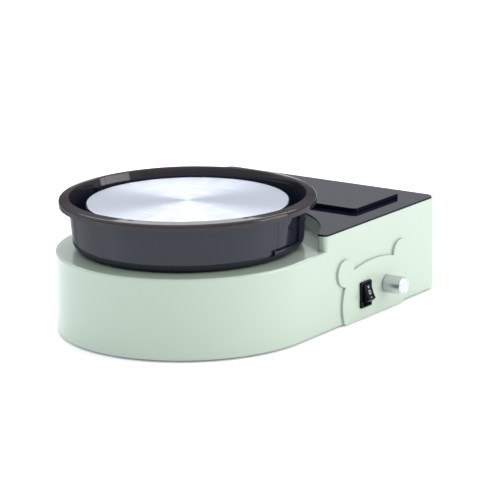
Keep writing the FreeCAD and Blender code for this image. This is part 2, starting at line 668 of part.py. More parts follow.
# ---------------------------------------------------------------- motor
def make_motor():
    y = BELT_CENTRES
    inside = MOTOR_RADIUS - MOTOR_WALL
    can_top = FRAME_TOP + MOTOR_HEIGHT
    can = cyl(MOTOR_RADIUS, FRAME_TOP, can_top, 0, y)
    can = can.cut(cyl(inside, FRAME_TOP + MOTOR_FLOOR, can_top + 1, 0, y))
    can = can.cut(cyl(MOTOR_SHAFT + RUNNING_FIT, FRAME_TOP - 1, can_top, 0, y))
    screw_places = on_circle(4, MOTOR_SCREW_RADIUS, 45, 0, y)
    can = holes(can, screw_places, MACHINE_SCREW + SCREW_FIT, FRAME_TOP - 1, FRAME_TOP + MOTOR_FLOOR + 1)
    export("motor_can", can)
    grip = FRAME_THICK + MOTOR_FLOOR
    export("motor_screws", *[pan_head_screw(sx, sy, FRAME_BOTTOM, grip, -1) for sx, sy in screw_places])
    cap = cyl(MOTOR_RADIUS, can_top, can_top + MOTOR_CAP, 0, y)
    cap = cap.fuse(ring(inside - 0.1, inside - 1.5, can_top - 2, can_top, 0, y))
    cap = cap.fuse(cyl(MOTOR_SHAFT + 3, can_top - 3, can_top, 0, y))
    cap = cap.cut(cyl(MOTOR_SHAFT + RUNNING_FIT, can_top - 4, can_top + 1, 0, y))
    export("motor_end_cap", cap)
    magnet = ring(inside - RUNNING_FIT, inside - MAGNET_THICK, FRAME_TOP + MOTOR_FLOOR, can_top - 3, 0, y)
    gap = block(-4, 4, y - MOTOR_RADIUS, y + MOTOR_RADIUS, FRAME_TOP, can_top)
    export("motor_magnets", magnet.cut(gap))
    rotor_radius = inside - MAGNET_THICK - AIR_GAP
    rotor_bottom = FRAME_TOP + MOTOR_FLOOR + 1.5
    rotor_top = can_top - 4
    rotor = ring(rotor_radius, MOTOR_SHAFT, rotor_bottom, rotor_top, 0, y)
    rotor = holes(rotor, on_circle(5, rotor_radius, 0, 0, y), 2.5, rotor_bottom - 1, rotor_top + 1)
    export("motor_rotor", rotor)
    pulley_bottom = BELT_BOTTOM - PULLEY_FLANGE
    export("motor_shaft", cyl(MOTOR_SHAFT, pulley_bottom, can_top - BODY_GAP, 0, y))
    pulley_top = BELT_TOP + PULLEY_FLANGE
    pulley = cyl(MOTOR_PULLEY_RADIUS, pulley_bottom, pulley_top, 0, y)
    for z0 in (pulley_bottom, BELT_TOP):
        pulley = pulley.fuse(cyl(MOTOR_PULLEY_RADIUS + FLANGE_RISE, z0, z0 + PULLEY_FLANGE, 0, y))
    pulley = pulley.cut(cyl(MOTOR_SHAFT, pulley_bottom - 1, pulley_top + 1, 0, y))
    middle = (BELT_BOTTOM + BELT_TOP) / 2
    pulley = pulley.cut(rod_y(MACHINE_SCREW, y + MOTOR_SHAFT - 0.2, y + MOTOR_PULLEY_RADIUS + 1, 0, middle))
    export("motor_pulley", pulley.removeSplitter())
    screw = rod_y(MACHINE_SCREW, y + MOTOR_SHAFT, y + MOTOR_PULLEY_RADIUS - 1, 0, middle)
    export("motor_pulley_screw", screw)


# ---------------------------------------------------------------- wheel head
def make_wheel():
    head = cyl(HEAD_RADIUS, HEAD_BOTTOM, HEAD_TOP)
    head = head.makeChamfer(HEAD_CHAMFER, at_height(head, HEAD_TOP) + at_height(head, HEAD_BOTTOM))
    for radius in GUIDE_RADII:
        half = GUIDE_WIDTH / 2
        groove = revolved([(radius - half, HEAD_TOP), (radius, HEAD_TOP - GUIDE_DEPTH),
                           (radius + half, HEAD_TOP), (radius + half, HEAD_TOP + 1),
                           (radius - half, HEAD_TOP + 1)])
        head = head.cut(groove)
    places = on_circle(4, HUB_SCREW_RADIUS, 45)
    head = holes(head, places, MACHINE_SCREW + SCREW_FIT, HEAD_BOTTOM - 1, HEAD_BOTTOM + HUB_SCREW_GRIP + 0.5)
    export("wheel_head", head)
    flange_bottom = HEAD_BOTTOM - HUB_FLANGE_THICK
    hub = cyl(HUB_FLANGE, flange_bottom, HEAD_BOTTOM).fuse(cyl(HUB_RADIUS, HUB_BOTTOM, flange_bottom))
    hub = hub.cut(cyl(SPINDLE_RADIUS, HUB_BOTTOM - 1, SPINDLE_IN_HUB))
    hub = holes(hub, places, MACHINE_SCREW + SCREW_FIT, flange_bottom - 1, HEAD_BOTTOM + 1)
    screw_z = (HUB_BOTTOM + flange_bottom) / 2
    hub = hub.cut(rod_x(MACHINE_SCREW + 1, SPINDLE_RADIUS - 0.8, HUB_RADIUS + 1, 0, screw_z))
    export("wheel_hub", hub)
    export("hub_set_screw", rod_x(MACHINE_SCREW + 1, SPINDLE_RADIUS - 0.8, HUB_RADIUS - 1, 0, screw_z))
    screws = [pan_head_screw(x, y, flange_bottom, HUB_FLANGE_THICK + HUB_SCREW_GRIP, -1) for x, y in places]
    export("hub_screws", *screws)


# ---------------------------------------------------------------- splash pan
def wall_radius(z):
    """Outer radius of the pan's drafted wall at height z."""
    foot = PAN_BOTTOM + PAN_FILLET
    return PAN_WALL_RADIUS - PAN_DRAFT * (LIP_BOTTOM - z) / (LIP_BOTTOM - foot)


def make_pan_bowl():
    """The whole pan as one bowl with a rolled lip and a collar round the body's spigot."""
    foot = PAN_BOTTOM + PAN_FILLET
    foot_radius = wall_radius(foot)
    floor_edge = foot_radius - PAN_FILLET
    inner_fillet = PAN_FILLET - PAN_WALL
    skirt = RIM_RADIUS - LIP_THICK
    lip_top = PAN_TOP - LIP_DROP
    bevel = lip_top - LIP_BOTTOM - 3.0
    collar_outer = COLLAR_INNER + COLLAR_WALL
    points = [
        (COLLAR_INNER, PAN_BOTTOM),
        (floor_edge, PAN_BOTTOM),
        quarter(floor_edge, foot, PAN_FILLET, -90, 0),
        (PAN_WALL_RADIUS, LIP_BOTTOM),
        (PAN_WALL_RADIUS + 0.6, PAN_TOP - LIP_THICK - 1.2),
        (skirt, lip_top - LIP_THICK),
        (skirt, LIP_BOTTOM),
        (RIM_RADIUS, LIP_BOTTOM),
        (RIM_RADIUS, LIP_BOTTOM + 3.0),
        quarter(RIM_RADIUS - bevel, LIP_BOTTOM + 3.0, bevel, 0, 80),
        (PAN_WALL_RADIUS + 0.9, PAN_TOP),
        quarter(PAN_WALL_RADIUS + 0.9, PAN_TOP - 1.6, 1.6, 90, 170),
        (PAN_WALL_RADIUS - PAN_WALL, LIP_BOTTOM),
        (foot_radius - PAN_WALL, foot),
        quarter(floor_edge, foot, inner_fillet, 0, -90),
        (collar_outer, PAN_FLOOR),
        (collar_outer, PAN_BOTTOM + COLLAR_HEIGHT + PAN_WALL),
        (COLLAR_INNER, PAN_BOTTOM + COLLAR_HEIGHT + PAN_WALL),
    ]
    bowl = revolved(points)
    low = PAN_BOTTOM + 3.0
    wide = PAN_WALL + GRIP_DEPTH
    half_wall = PAN_WALL / 2
    backing = revolved([(wall_radius(low) - wide, low), (wall_radius(low) - half_wall - 2.0, low),
                        (wall_radius(foot) - half_wall, foot),
                        (wall_radius(LIP_BOTTOM) - half_wall, LIP_BOTTOM),
                        (wall_radius(LIP_BOTTOM) - wide, LIP_BOTTOM)])
    grip_top = LIP_BOTTOM - 0.5
    recess = revolved([(wall_radius(GRIP_BOTTOM) - GRIP_DEPTH, GRIP_BOTTOM), (RIM_RADIUS + 2, GRIP_BOTTOM),
                       (RIM_RADIUS + 2, grip_top), (wall_radius(grip_top) - GRIP_DEPTH, grip_top)])
    notch = revolved([(wall_radius(NOTCH_BOTTOM) - GRIP_DEPTH, NOTCH_BOTTOM), (RIM_RADIUS + 2, NOTCH_BOTTOM),
                      (RIM_RADIUS + 2, NOTCH_TOP), (wall_radius(NOTCH_TOP) - GRIP_DEPTH, NOTCH_TOP)])
    for side in (-1, 1):
        x0, x1 = sorted((side * HEAD_RADIUS * 0.5, side * (RIM_RADIUS + 5)))
        bowl = bowl.fuse(backing.common(block(x0, x1, NOTCH_FRONT - 2, GRIP_REAR + 2, 0, PAN_TOP)))
        bowl = bowl.cut(recess.common(block(x0, x1, GRIP_FRONT, GRIP_REAR, 0, PAN_TOP)))
        bowl = bowl.cut(notch.common(block(x0, x1, NOTCH_FRONT, GRIP_FRONT + 1, 0, PAN_TOP)))
    return bowl


def turned(shape):
    copy = shape.copy()
    copy.rotate(Vector(0, 0, 0), Z_AXIS, PAN_TURN)
    return copy


def make_pan():
    bowl = make_pan_bowl()
    far = RIM_RADIUS + 20
    half_gap = BODY_GAP / 2
    front = bowl.common(block(-far, far, -far, SEAM_Y - half_gap, 0, PAN_TOP + 5))
    rear = bowl.common(block(-far, far, SEAM_Y + half_gap, far, 0, PAN_TOP + 5))
    inner_end = COLLAR_INNER + COLLAR_WALL + 4
    outer_end = wall_radius(PAN_BOTTOM + PAN_FILLET) - PAN_FILLET - 3
    tongue_bottom = PAN_FLOOR + BODY_GAP
    for side in (-1, 1):
        x0, x1 = sorted((side * inner_end, side * outer_end))
        tongue_top = tongue_bottom + TONGUE_THICK
        rear = rear.fuse(block(x0, x1, SEAM_Y - TONGUE_LAP, SEAM_Y + 4, tongue_bottom, tongue_top))
        rear = rear.fuse(block(x0, x1, SEAM_Y + half_gap, SEAM_Y + 4, PAN_FLOOR - 1, tongue_top))
    export("pan_front", turned(front.removeSplitter()))
    export("pan_rear", turned(rear.removeSplitter()))


# ---------------------------------------------------------------- controls
def panel_point(across, z):
    return Vector(BODY_RADIUS, PANEL_CENTRE_Y + across, z)


def make_control_panel():
    """A thin plate in the outline of an animal's head: bulging cheeks, a low brow and two round ears."""
    brow_end = PANEL_BROW_Z - PANEL_BROW_DROP
    cheeks = []
    for side in (-1, 1):
        foot = panel_point(side * PANEL_HALF_BOTTOM, PANEL_BOTTOM)
        widest = panel_point(side * PANEL_HALF_WIDEST, PANEL_WIDEST_Z)
        neck = panel_point(side * PANEL_HALF_NECK, PANEL_NECK_Z)
        cheeks.append(Part.Arc(foot, widest, neck).toShape())
    brow = Part.Arc(panel_point(-PANEL_BROW_HALF, brow_end), panel_point(0, PANEL_BROW_Z),
                    panel_point(PANEL_BROW_HALF, brow_end)).toShape()
    chin = Part.makeLine(panel_point(-PANEL_HALF_BOTTOM, PANEL_BOTTOM),
                         panel_point(PANEL_HALF_BOTTOM, PANEL_BOTTOM))
    temples = []
    for side in (-1, 1):
        temples.append(Part.makeLine(panel_point(side * PANEL_HALF_NECK, PANEL_NECK_Z),
                                     panel_point(side * PANEL_BROW_HALF, brow_end)))
    edges = [chin, brow] + cheeks + temples
    face = Part.Face(Part.Wire(Part.__sortEdges__(edges)))
    panel = face.extrude(Vector(PANEL_THICK, 0, 0))
    corners = [e for e in along(panel, X_AXIS) if e.BoundBox.ZMax < PANEL_BOTTOM + 0.1]
    panel = panel.makeFillet(PANEL_CORNER, corners)
    for side in (-1, 1):
        ear_y = PANEL_CENTRE_Y + side * EAR_OFFSET
        panel = panel.fuse(rod_x(EAR_RADIUS, BODY_RADIUS, PANEL_FACE, ear_y, EAR_Z))
    panel = panel.removeSplitter()
    half_high = SWITCH_BODY_HEIGHT / 2 + SCREW_FIT
    half_wide = SWITCH_BODY_WIDTH / 2 + SCREW_FIT
    panel = panel.cut(block(BODY_RADIUS - 1, PANEL_FACE + 1, SWITCH_Y - half_wide, SWITCH_Y + half_wide,
                            SWITCH_Z - half_high, SWITCH_Z + half_high))
    return panel.cut(rod_x(POT_BUSH + SCREW_FIT, BODY_RADIUS - 1, PANEL_FACE + 1, POT_Y, POT_Z))


def make_switch():
    """A three-position rocker switch, left with its upper end pressed in."""
    face = PANEL_FACE + BEZEL_PROUD
    pivot = Vector(face - ROCKER_PIVOT_BACK, SWITCH_Y, SWITCH_Z)
    bezel = block(PANEL_FACE, face, SWITCH_Y - BEZEL_WIDTH / 2, SWITCH_Y + BEZEL_WIDTH / 2,
                  SWITCH_Z - BEZEL_HEIGHT / 2, SWITCH_Z + BEZEL_HEIGHT / 2)
    bezel = bezel.makeFillet(1.2, along(bezel, X_AXIS))
    bezel = bezel.makeFillet(0.5, at_x(bezel, face))
    half_wide = SWITCH_BODY_WIDTH / 2
    half_high = SWITCH_BODY_HEIGHT / 2
    body = block(PANEL_FACE - SWITCH_DEPTH, PANEL_FACE, SWITCH_Y - half_wide, SWITCH_Y + half_wide,
                 SWITCH_Z - half_high, SWITCH_Z + half_high)
    tilt = math.radians(ROCKER_TILT)
    mouth = ROCKER_HALF_HEIGHT * math.cos(tilt) + ROCKER_SHOULDER * math.sin(tilt) + BODY_GAP
    throat = mouth - 0.6
    side = ROCKER_HALF_WIDTH + BODY_GAP
    well = block(face - SWITCH_WELL_DEPTH, face + 1, SWITCH_Y - side, SWITCH_Y + side,
                 SWITCH_Z - throat, SWITCH_Z + throat)
    well = well.fuse(block(face - ROCKER_PIVOT_BACK + 0.4, face + 1, SWITCH_Y - side, SWITCH_Y + side,
                           SWITCH_Z - mouth, SWITCH_Z + mouth))
    housing = bezel.fuse(body).cut(well)
    pin_reach = half_wide - 0.3
    hole_reach = pin_reach + RUNNING_FIT
    pin = rod_y(ROCKER_PIN, SWITCH_Y - pin_reach, SWITCH_Y + pin_reach, pivot.x, SWITCH_Z)
    hole = rod_y(ROCKER_PIN + RUNNING_FIT, SWITCH_Y - hole_reach, SWITCH_Y + hole_reach, pivot.x, SWITCH_Z)
    export("switch_housing", housing.cut(hole).removeSplitter())

    def profile(x, z):
        return Vector(pivot.x + x, SWITCH_Y - ROCKER_HALF_WIDTH, SWITCH_Z + z)

    half = [(ROCKER_END, ROCKER_HALF_FACE), (ROCKER_SHOULDER, ROCKER_HALF_HEIGHT),
            (-ROCKER_BACK, ROCKER_HALF_BACK)]
    upper = [profile(x, z) for x, z in half]
    lower = [profile(x, -z) for x, z in half]
    dished = Part.Arc(lower[0], profile(ROCKER_WAIST, 0), upper[0])
    edges = [dished.toShape(), Part.makeLine(upper[0], upper[1]), Part.makeLine(upper[1], upper[2]),
             Part.makeLine(upper[2], lower[2]), Part.makeLine(lower[2], lower[1]),
             Part.makeLine(lower[1], lower[0])]
    rocker = Part.Face(Part.Wire(edges)).extrude(Vector(0, 2 * ROCKER_HALF_WIDTH, 0)).fuse(pin)
    rocker.rotate(pivot, Y_AXIS, -ROCKER_TILT)
    export("switch_rocker", rocker.removeSplitter())
    terminals = []
    back = PANEL_FACE - SWITCH_DEPTH
    for step in (-1, 0, 1):
        z = SWITCH_Z + step * 6
        terminals.append(block(back - SWITCH_TERMINAL, back, SWITCH_Y - 2.4, SWITCH_Y + 2.4,
                               z - 0.4, z + 0.4))
    export("switch_terminals", *terminals)


def make_speed_control():
    inner_wall = BODY_RADIUS - WALL
    bush_end = PANEL_FACE + POT_NUT_THICK + 0.5
    bore = POT_SHAFT + RUNNING_FIT
    shaft_start = inner_wall - POT_DEPTH + 2
    body = rod_x(POT_RADIUS, inner_wall - POT_DEPTH, inner_wall, POT_Y, POT_Z)
    body = body.fuse(rod_x(POT_BUSH, inner_wall, bush_end, POT_Y, POT_Z))
    body = body.cut(rod_x(bore, shaft_start - BODY_GAP, bush_end + 1, POT_Y, POT_Z))
    for step in (-1, 0, 1):
        y = POT_Y + step * 5
        body = body.fuse(block(inner_wall - POT_LUG, inner_wall - POT_LUG + 1, y - 0.6, y + 0.6,
                               POT_Z - POT_RADIUS - 5, POT_Z - POT_RADIUS / 2))
    export("pot_body", body.cut(rod_x(bore, shaft_start - BODY_GAP, bush_end + 1, POT_Y, POT_Z)))
    nut = lie_along_x(hexagon(POT_NUT_HEX, 0, POT_NUT_THICK), PANEL_FACE, POT_Y, POT_Z)
    export("pot_nut", nut.cut(rod_x(POT_BUSH, PANEL_FACE - 1, PANEL_FACE + 5, POT_Y, POT_Z)))
    knob_start = PANEL_FACE + KNOB_GAP
    knob_end = knob_start + KNOB_LENGTH
    shaft_end = knob_end - KNOB_END_WALL
    export("pot_shaft", rod_x(POT_SHAFT, shaft_start, shaft_end, POT_Y, POT_Z))
    knob = rod_x(KNOB_RADIUS, knob_start, knob_end, POT_Y, POT_Z)
    knob = knob.makeChamfer(0.6, at_x(knob, knob_end))
    knob = knob.cut(rod_x(KNOB_RECESS, knob_start - 1, bush_end + BODY_GAP, POT_Y, POT_Z))
    knob = knob.cut(rod_x(POT_SHAFT, knob_start - 1, shaft_end, POT_Y, POT_Z))
    screw_x = (bush_end + shaft_end) / 2
    hole = cyl(MACHINE_SCREW, POT_Z - KNOB_RADIUS - 1, POT_Z - POT_SHAFT, screw_x, POT_Y)
    export("speed_knob", knob.cut(hole))
    export("knob_set_screw", cyl(MACHINE_SCREW, POT_Z - KNOB_RADIUS + 0.6, POT_Z - POT_SHAFT, screw_x, POT_Y))


def make_inlet():
    """The low-voltage power inlet: barrel, centre pin and the nut that holds it to the rear wall."""
    outside = BODY_REAR + INLET_FLANGE_THICK
    inside = BODY_REAR - INLET_DEPTH
    socket_end = outside - INLET_SOCKET_DEPTH
    barrel = rod_y(INLET_FLANGE, BODY_REAR, outside, INLET_X, INLET_Z)
    rim = [e for e in barrel.Edges if same(e.BoundBox.YMin, outside) and same(e.BoundBox.YMax, outside)]
    barrel = barrel.makeFillet(0.6, rim)
    barrel = barrel.fuse(rod_y(INLET_BARREL, inside, BODY_REAR, INLET_X, INLET_Z))
    barrel = barrel.cut(rod_y(INLET_SOCKET, socket_end, outside + 1, INLET_X, INLET_Z))
    barrel = barrel.cut(rod_y(INLET_PIN, inside - 1, socket_end + 1, INLET_X, INLET_Z))
    export("power_inlet", barrel)
    pin = rod_y(INLET_PIN, inside - 4, outside - 1, INLET_X, INLET_Z)
    export("power_inlet_pin", pin)
    nut = lie_along_y(hexagon(INLET_NUT_HEX, 0, INLET_NUT_THICK),
                      INLET_X, BODY_REAR - WALL - INLET_NUT_THICK, INLET_Z)
    export("power_inlet_nut", nut.cut(rod_y(INLET_BARREL, inside, BODY_REAR, INLET_X, INLET_Z)))


def make_controller():
    """The motor controller board on four posts, its parts and heat sink. Returns its plug block's top."""
    x0 = BOARD_LEFT
    x1 = x0 + BOARD_WIDTH
    y0 = BOARD_FRONT
    y1 = BOARD_FRONT + BOARD_LENGTH
    z0 = PLATE_TOP + BOARD_POST_HEIGHT
    z1 = z0 + BOARD_THICK
    corners = [(x, y) for x in (x0 + 3.5, x1 - 3.5) for y in (y0 + 3.5, y1 - 3.5)]
    board = block(x0, x1, y0, y1, z0, z1)
    export("controller_board", holes(board, corners, MACHINE_SCREW + SCREW_FIT, z0 - 1, z1 + 1))
    export("board_posts", *[cyl(3, PLATE_TOP, z0, x, y).fuse(cyl(MACHINE_SCREW, z0, z1 + 1, x, y))
                            for x, y in corners])
    middle = (x0 + x1) / 2
    capacitors = [cyl(5, z1, z1 + 12, middle, y0 + 16), cyl(5, z1, z1 + 12, middle, y0 + 28)]
    chips = [block(middle - 4, middle + 4, y0 + 38, y0 + 48, z1, z1 + 2)]
    plugs = [block(middle - 8, middle + 8, y1 - 22, y1 - 15, z1, z1 + 8)]
    export("board_components", *(capacitors + chips + plugs))
    sink = block(middle - 8, middle + 8, y0 + 52, y0 + 66, z1, z1 + 3)
    for i in range(5):
        x = middle - 8 + i * 3.6
        sink = sink.fuse(block(x, x + 1.6, y0 + 52, y0 + 66, z1, z1 + 11))
    export("heat_sink", sink.removeSplitter())
    return Vector(middle, y1 - 18.5, z1 + 8)


def wire(points):
    """A round lead along straight runs joined by arcs, from the first point to the last."""
    edges = []
    here = points[0]
    for before, corner, after in zip(points, points[1:], points[2:]):
        into = (corner - before).normalize()
        out = (after - corner).normalize()
        half = into.getAngle(out) / 2
        reach = WIRE_BEND * math.tan(half)
        start = corner - into * reach
        end = corner + out * reach
        middle = corner + (out - into).normalize() * (WIRE_BEND / math.cos(half) - WIRE_BEND)
        edges.append(Part.makeLine(here, start))
        edges.append(Part.Arc(start, middle, end).toShape())
        here = end
    edges.append(Part.makeLine(here, points[-1]))
    circle = Part.Wire([Part.makeCircle(WIRE_RADIUS, points[0], points[1] - points[0])])
    return Part.Wire(edges).makePipeShell([circle], True, True)


def make_wiring(plug):
    """Leads from the board's plug block to the inlet, the motor, the switch and the speed control."""
    rear = BODY_REAR - INLET_DEPTH - 3
    inlet_z = INLET_Z + INLET_PIN
    low, middle, high, top = plug.z + 15, plug.z + 19, plug.z + 23, plug.z + 27
    to_inlet = [Vector(INLET_X, plug.y, plug.z), Vector(INLET_X, plug.y, low),
                Vector(INLET_X, rear, low), Vector(INLET_X, rear, inlet_z)]
    x = plug.x + LEAD_SPREAD / 3
    to_motor = [Vector(x, plug.y, plug.z), Vector(x, plug.y, middle),
                Vector(-MOTOR_RADIUS - BODY_GAP, plug.y, middle)]
    x = plug.x - LEAD_SPREAD / 3
    behind_motor = BELT_CENTRES + MOTOR_RADIUS + LEAD_CLEARANCE
    cross_y = max(rear - 8, behind_motor)
    turn_x = FRAME_SIDE + LEAD_CLEARANCE
    switch_back = PANEL_FACE - SWITCH_DEPTH - SWITCH_TERMINAL
    to_switch = [Vector(x, plug.y, plug.z), Vector(x, plug.y, high), Vector(x, cross_y, high),
                 Vector(turn_x, cross_y, high), Vector(turn_x, SWITCH_Y, high),
                 Vector(turn_x, SWITCH_Y, SWITCH_Z), Vector(switch_back, SWITCH_Y, SWITCH_Z)]
    x = plug.x - LEAD_SPREAD
    cross_y = max(rear - 4, behind_motor + 4)
    turn_x = FRAME_SIDE + 2.5 * LEAD_CLEARANCE
    lug = Vector(BODY_RADIUS - WALL - POT_LUG, POT_Y, POT_Z - POT_RADIUS - 2.5)
    to_control = [Vector(x, plug.y, plug.z), Vector(x, plug.y, top), Vector(x, cross_y, top),
                  Vector(turn_x, cross_y, top), Vector(turn_x, POT_Y, top), Vector(turn_x, POT_Y, lug.z), lug]
    return [wire(route) for route in (to_inlet, to_motor, to_switch, to_control)]


def build():
    os.makedirs("parts", exist_ok=True)
    export("body_shell", make_body_shell())
    export("deck_panel", make_deck())
    export("tool_tray", make_tray())
    export("tray_lid", make_lid())
    make_base()
    make_frame()
    make_bearing_housing()
    make_bearings()
    make_spindle()
    export("driven_pulley", make_driven_pulley())
    export("drive_belt", make_belt())
    make_motor()
    make_wheel()
    make_pan()
    export("control_panel", make_control_panel())
    make_switch()
    make_speed_control()
    make_inlet()
    export("wiring_harness", *make_wiring(make_controller()))


build()
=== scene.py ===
"""Looks of a small table-top pottery wheel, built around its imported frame. Metres, +Z up, the user at -Y."""
import json
import math

import bmesh
import bpy
from bpy.props import FloatProperty, FloatVectorProperty, IntProperty, PointerProperty
from mathutils import Matrix, Vector


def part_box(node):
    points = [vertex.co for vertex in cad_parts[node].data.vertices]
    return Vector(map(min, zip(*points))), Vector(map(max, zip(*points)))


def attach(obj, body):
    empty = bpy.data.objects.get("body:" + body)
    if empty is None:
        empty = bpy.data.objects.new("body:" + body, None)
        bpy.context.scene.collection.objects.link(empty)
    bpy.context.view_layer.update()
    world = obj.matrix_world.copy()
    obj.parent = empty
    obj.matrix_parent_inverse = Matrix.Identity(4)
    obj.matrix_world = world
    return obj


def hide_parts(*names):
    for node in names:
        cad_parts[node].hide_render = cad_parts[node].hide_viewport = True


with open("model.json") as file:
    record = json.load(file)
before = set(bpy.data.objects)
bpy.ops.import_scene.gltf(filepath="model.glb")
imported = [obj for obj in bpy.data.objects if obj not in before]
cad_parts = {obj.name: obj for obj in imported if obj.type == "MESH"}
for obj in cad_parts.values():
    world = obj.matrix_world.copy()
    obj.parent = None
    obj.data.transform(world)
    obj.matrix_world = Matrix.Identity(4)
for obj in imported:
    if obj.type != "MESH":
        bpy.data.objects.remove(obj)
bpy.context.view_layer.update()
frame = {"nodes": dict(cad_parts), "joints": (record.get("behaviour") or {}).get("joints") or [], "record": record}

bl_info = {
    "name": "Pottery wheel",
    "version": (1, 0, 0),
    "blender": (4, 5, 0),
    "location": "3D View > Sidebar > Pottery wheel",
    "description": "Builds the visible pieces and finishes of a table-top pottery wheel",
    "category": "Object",
}

MM = 0.001


def middle(node):
    low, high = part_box(node)
    return (low + high) / 2


def joint(name):
    return next(j for j in frame["joints"] if j["name"] == name)


SPINDLE = middle("spindle")
AXIS = Vector((SPINDLE.x, SPINDLE.y, 0))            # the wheel's axis where it meets the table
HEAD_LOW, HEAD_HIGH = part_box("wheel_head")
KNOB_LOW, KNOB_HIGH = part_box("speed_knob")
KNOB_MIDDLE = (KNOB_LOW + KNOB_HIGH) / 2
PAN_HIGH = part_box("pan_front")[1]
ROCKER_PIVOT = Vector(joint("switch_rock")["pos_m"])
GUIDE_RINGS = (23.5 * MM, 26.0 * MM, 50.0 * MM)     # the turned rings that a potter centres clay by
ROCKER_TILT = math.radians(-20)                   # at rest, its upper end pressed
DISH_RADIUS = 38.7 * MM                           # hollow of the rocker's face
DISH_DEPTH = 6.9 * MM                             # its lowest point in front of the pivot
MARK_HALF_WIDTH = 0.95 * MM                       # the switch's printed strokes: half their length across,
MARK_HEIGHTS = (-4.6 * MM, 3.4 * MM, 4.3 * MM)    # and their heights from the rocker's middle
RING_RADIUS = 1.0 * MM                            # inner radius of the printed ring,
RING_STRETCH = 1.35                               # its height to its width,
RING_MIDDLE = -0.4 * MM                           # the height of its middle,
RING_FACETS = 24
INK_SUNK, INK_THICK = 0.06 * MM, 0.12 * MM        # how far the ink starts below the face, and its thickness
MIX_FROM, MIX_TO, MIX_RESULT = 6, 7, 2            # the Mix node's colour sockets, which share names with others
CAMERA_PLACE = (1.2966, -1.7738, 0.6181)
CAMERA_RIGHT = Vector((0.81107, 0.58469, -0.01716))
CAMERA_UP = Vector((-0.13053, 0.20950, 0.96906))
CAMERA_AHEAD = Vector((-0.57019, 0.78374, -0.24624))


# ---------------------------------------------------------------- colours and nodes
def linear(code):
    """An sRGB hex colour as linear red, green and blue."""
    channels = [int(code[i:i + 2], 16) / 255 for i in (1, 3, 5)]
    return [c / 12.92 if c <= 0.04045 else ((c + 0.055) / 1.055) ** 2.4 for c in channels]


def shade(colour, factor):
    """A colour made lighter or darker, with its alpha."""
    return (*[min(c * factor, 1.0) for c in colour], 1.0)


def add(tree, kind, inputs=None, **settings):
    """Adds a node. An input is a value, a socket, a node (its first output), or a list of nodes that all feed it."""
    node = tree.nodes.new(kind)
    for name, value in settings.items():
        setattr(node, name, value)
    for key, value in (inputs or {}).items():
        for source in value if isinstance(value, list) else [value]:
            if isinstance(source, bpy.types.Node):
                source = source.outputs[0]
            if isinstance(source, bpy.types.NodeSocket):
                tree.links.new(source, node.inputs[key])
            else:
                node.inputs[key].default_value = source
    return node


def new_material(name):
    """An empty node material, its tree and the object coordinates that its patterns read."""
    material = bpy.data.materials.new(name)
    material.use_nodes = True
    tree = material.node_tree
    tree.nodes.clear()
    return material, tree, add(tree, "ShaderNodeTexCoord").outputs["Object"]


def finish_material(material, tree, shader):
    add(tree, "ShaderNodeOutputMaterial", {"Surface": shader})
    return material


def moulded(name, colour, roughness, grain_mm, grain_depth_mm, spread=0.03, coat=0.0, coat_roughness=0.05, ior=1.5):
    """Injection-moulded plastic or rubber: the mould's grain as bump, and a slow drift of colour and gloss."""
    material, tree, place = new_material(name)
    grain = add(tree, "ShaderNodeTexNoise", {"Vector": place, "Scale": 1 / (grain_mm * MM), "Detail": 3.0,
                                             "Roughness": 0.6})
    drift = add(tree, "ShaderNodeTexNoise", {"Vector": place, "Scale": 1 / (60 * MM), "Detail": 2.0})
    tint = add(tree, "ShaderNodeMix", {"Factor": drift, MIX_FROM: shade(colour, 1 - spread),
                                       MIX_TO: shade(colour, 1 + spread)}, data_type="RGBA")
    gloss = add(tree, "ShaderNodeMapRange", {"Value": grain, "To Min": roughness * 0.85,
                                             "To Max": roughness * 1.15})
    bump = add(tree, "ShaderNodeBump", {"Height": grain, "Distance": grain_depth_mm * MM,
                                        "Strength": 1.0})
    shader = add(tree, "ShaderNodeBsdfPrincipled", {
        "Base Color": tint.outputs[MIX_RESULT], "Roughness": gloss, "IOR": ior,
        "Normal": bump, "Coat Weight": coat, "Coat Roughness": coat_roughness})
    return finish_material(material, tree, shader)


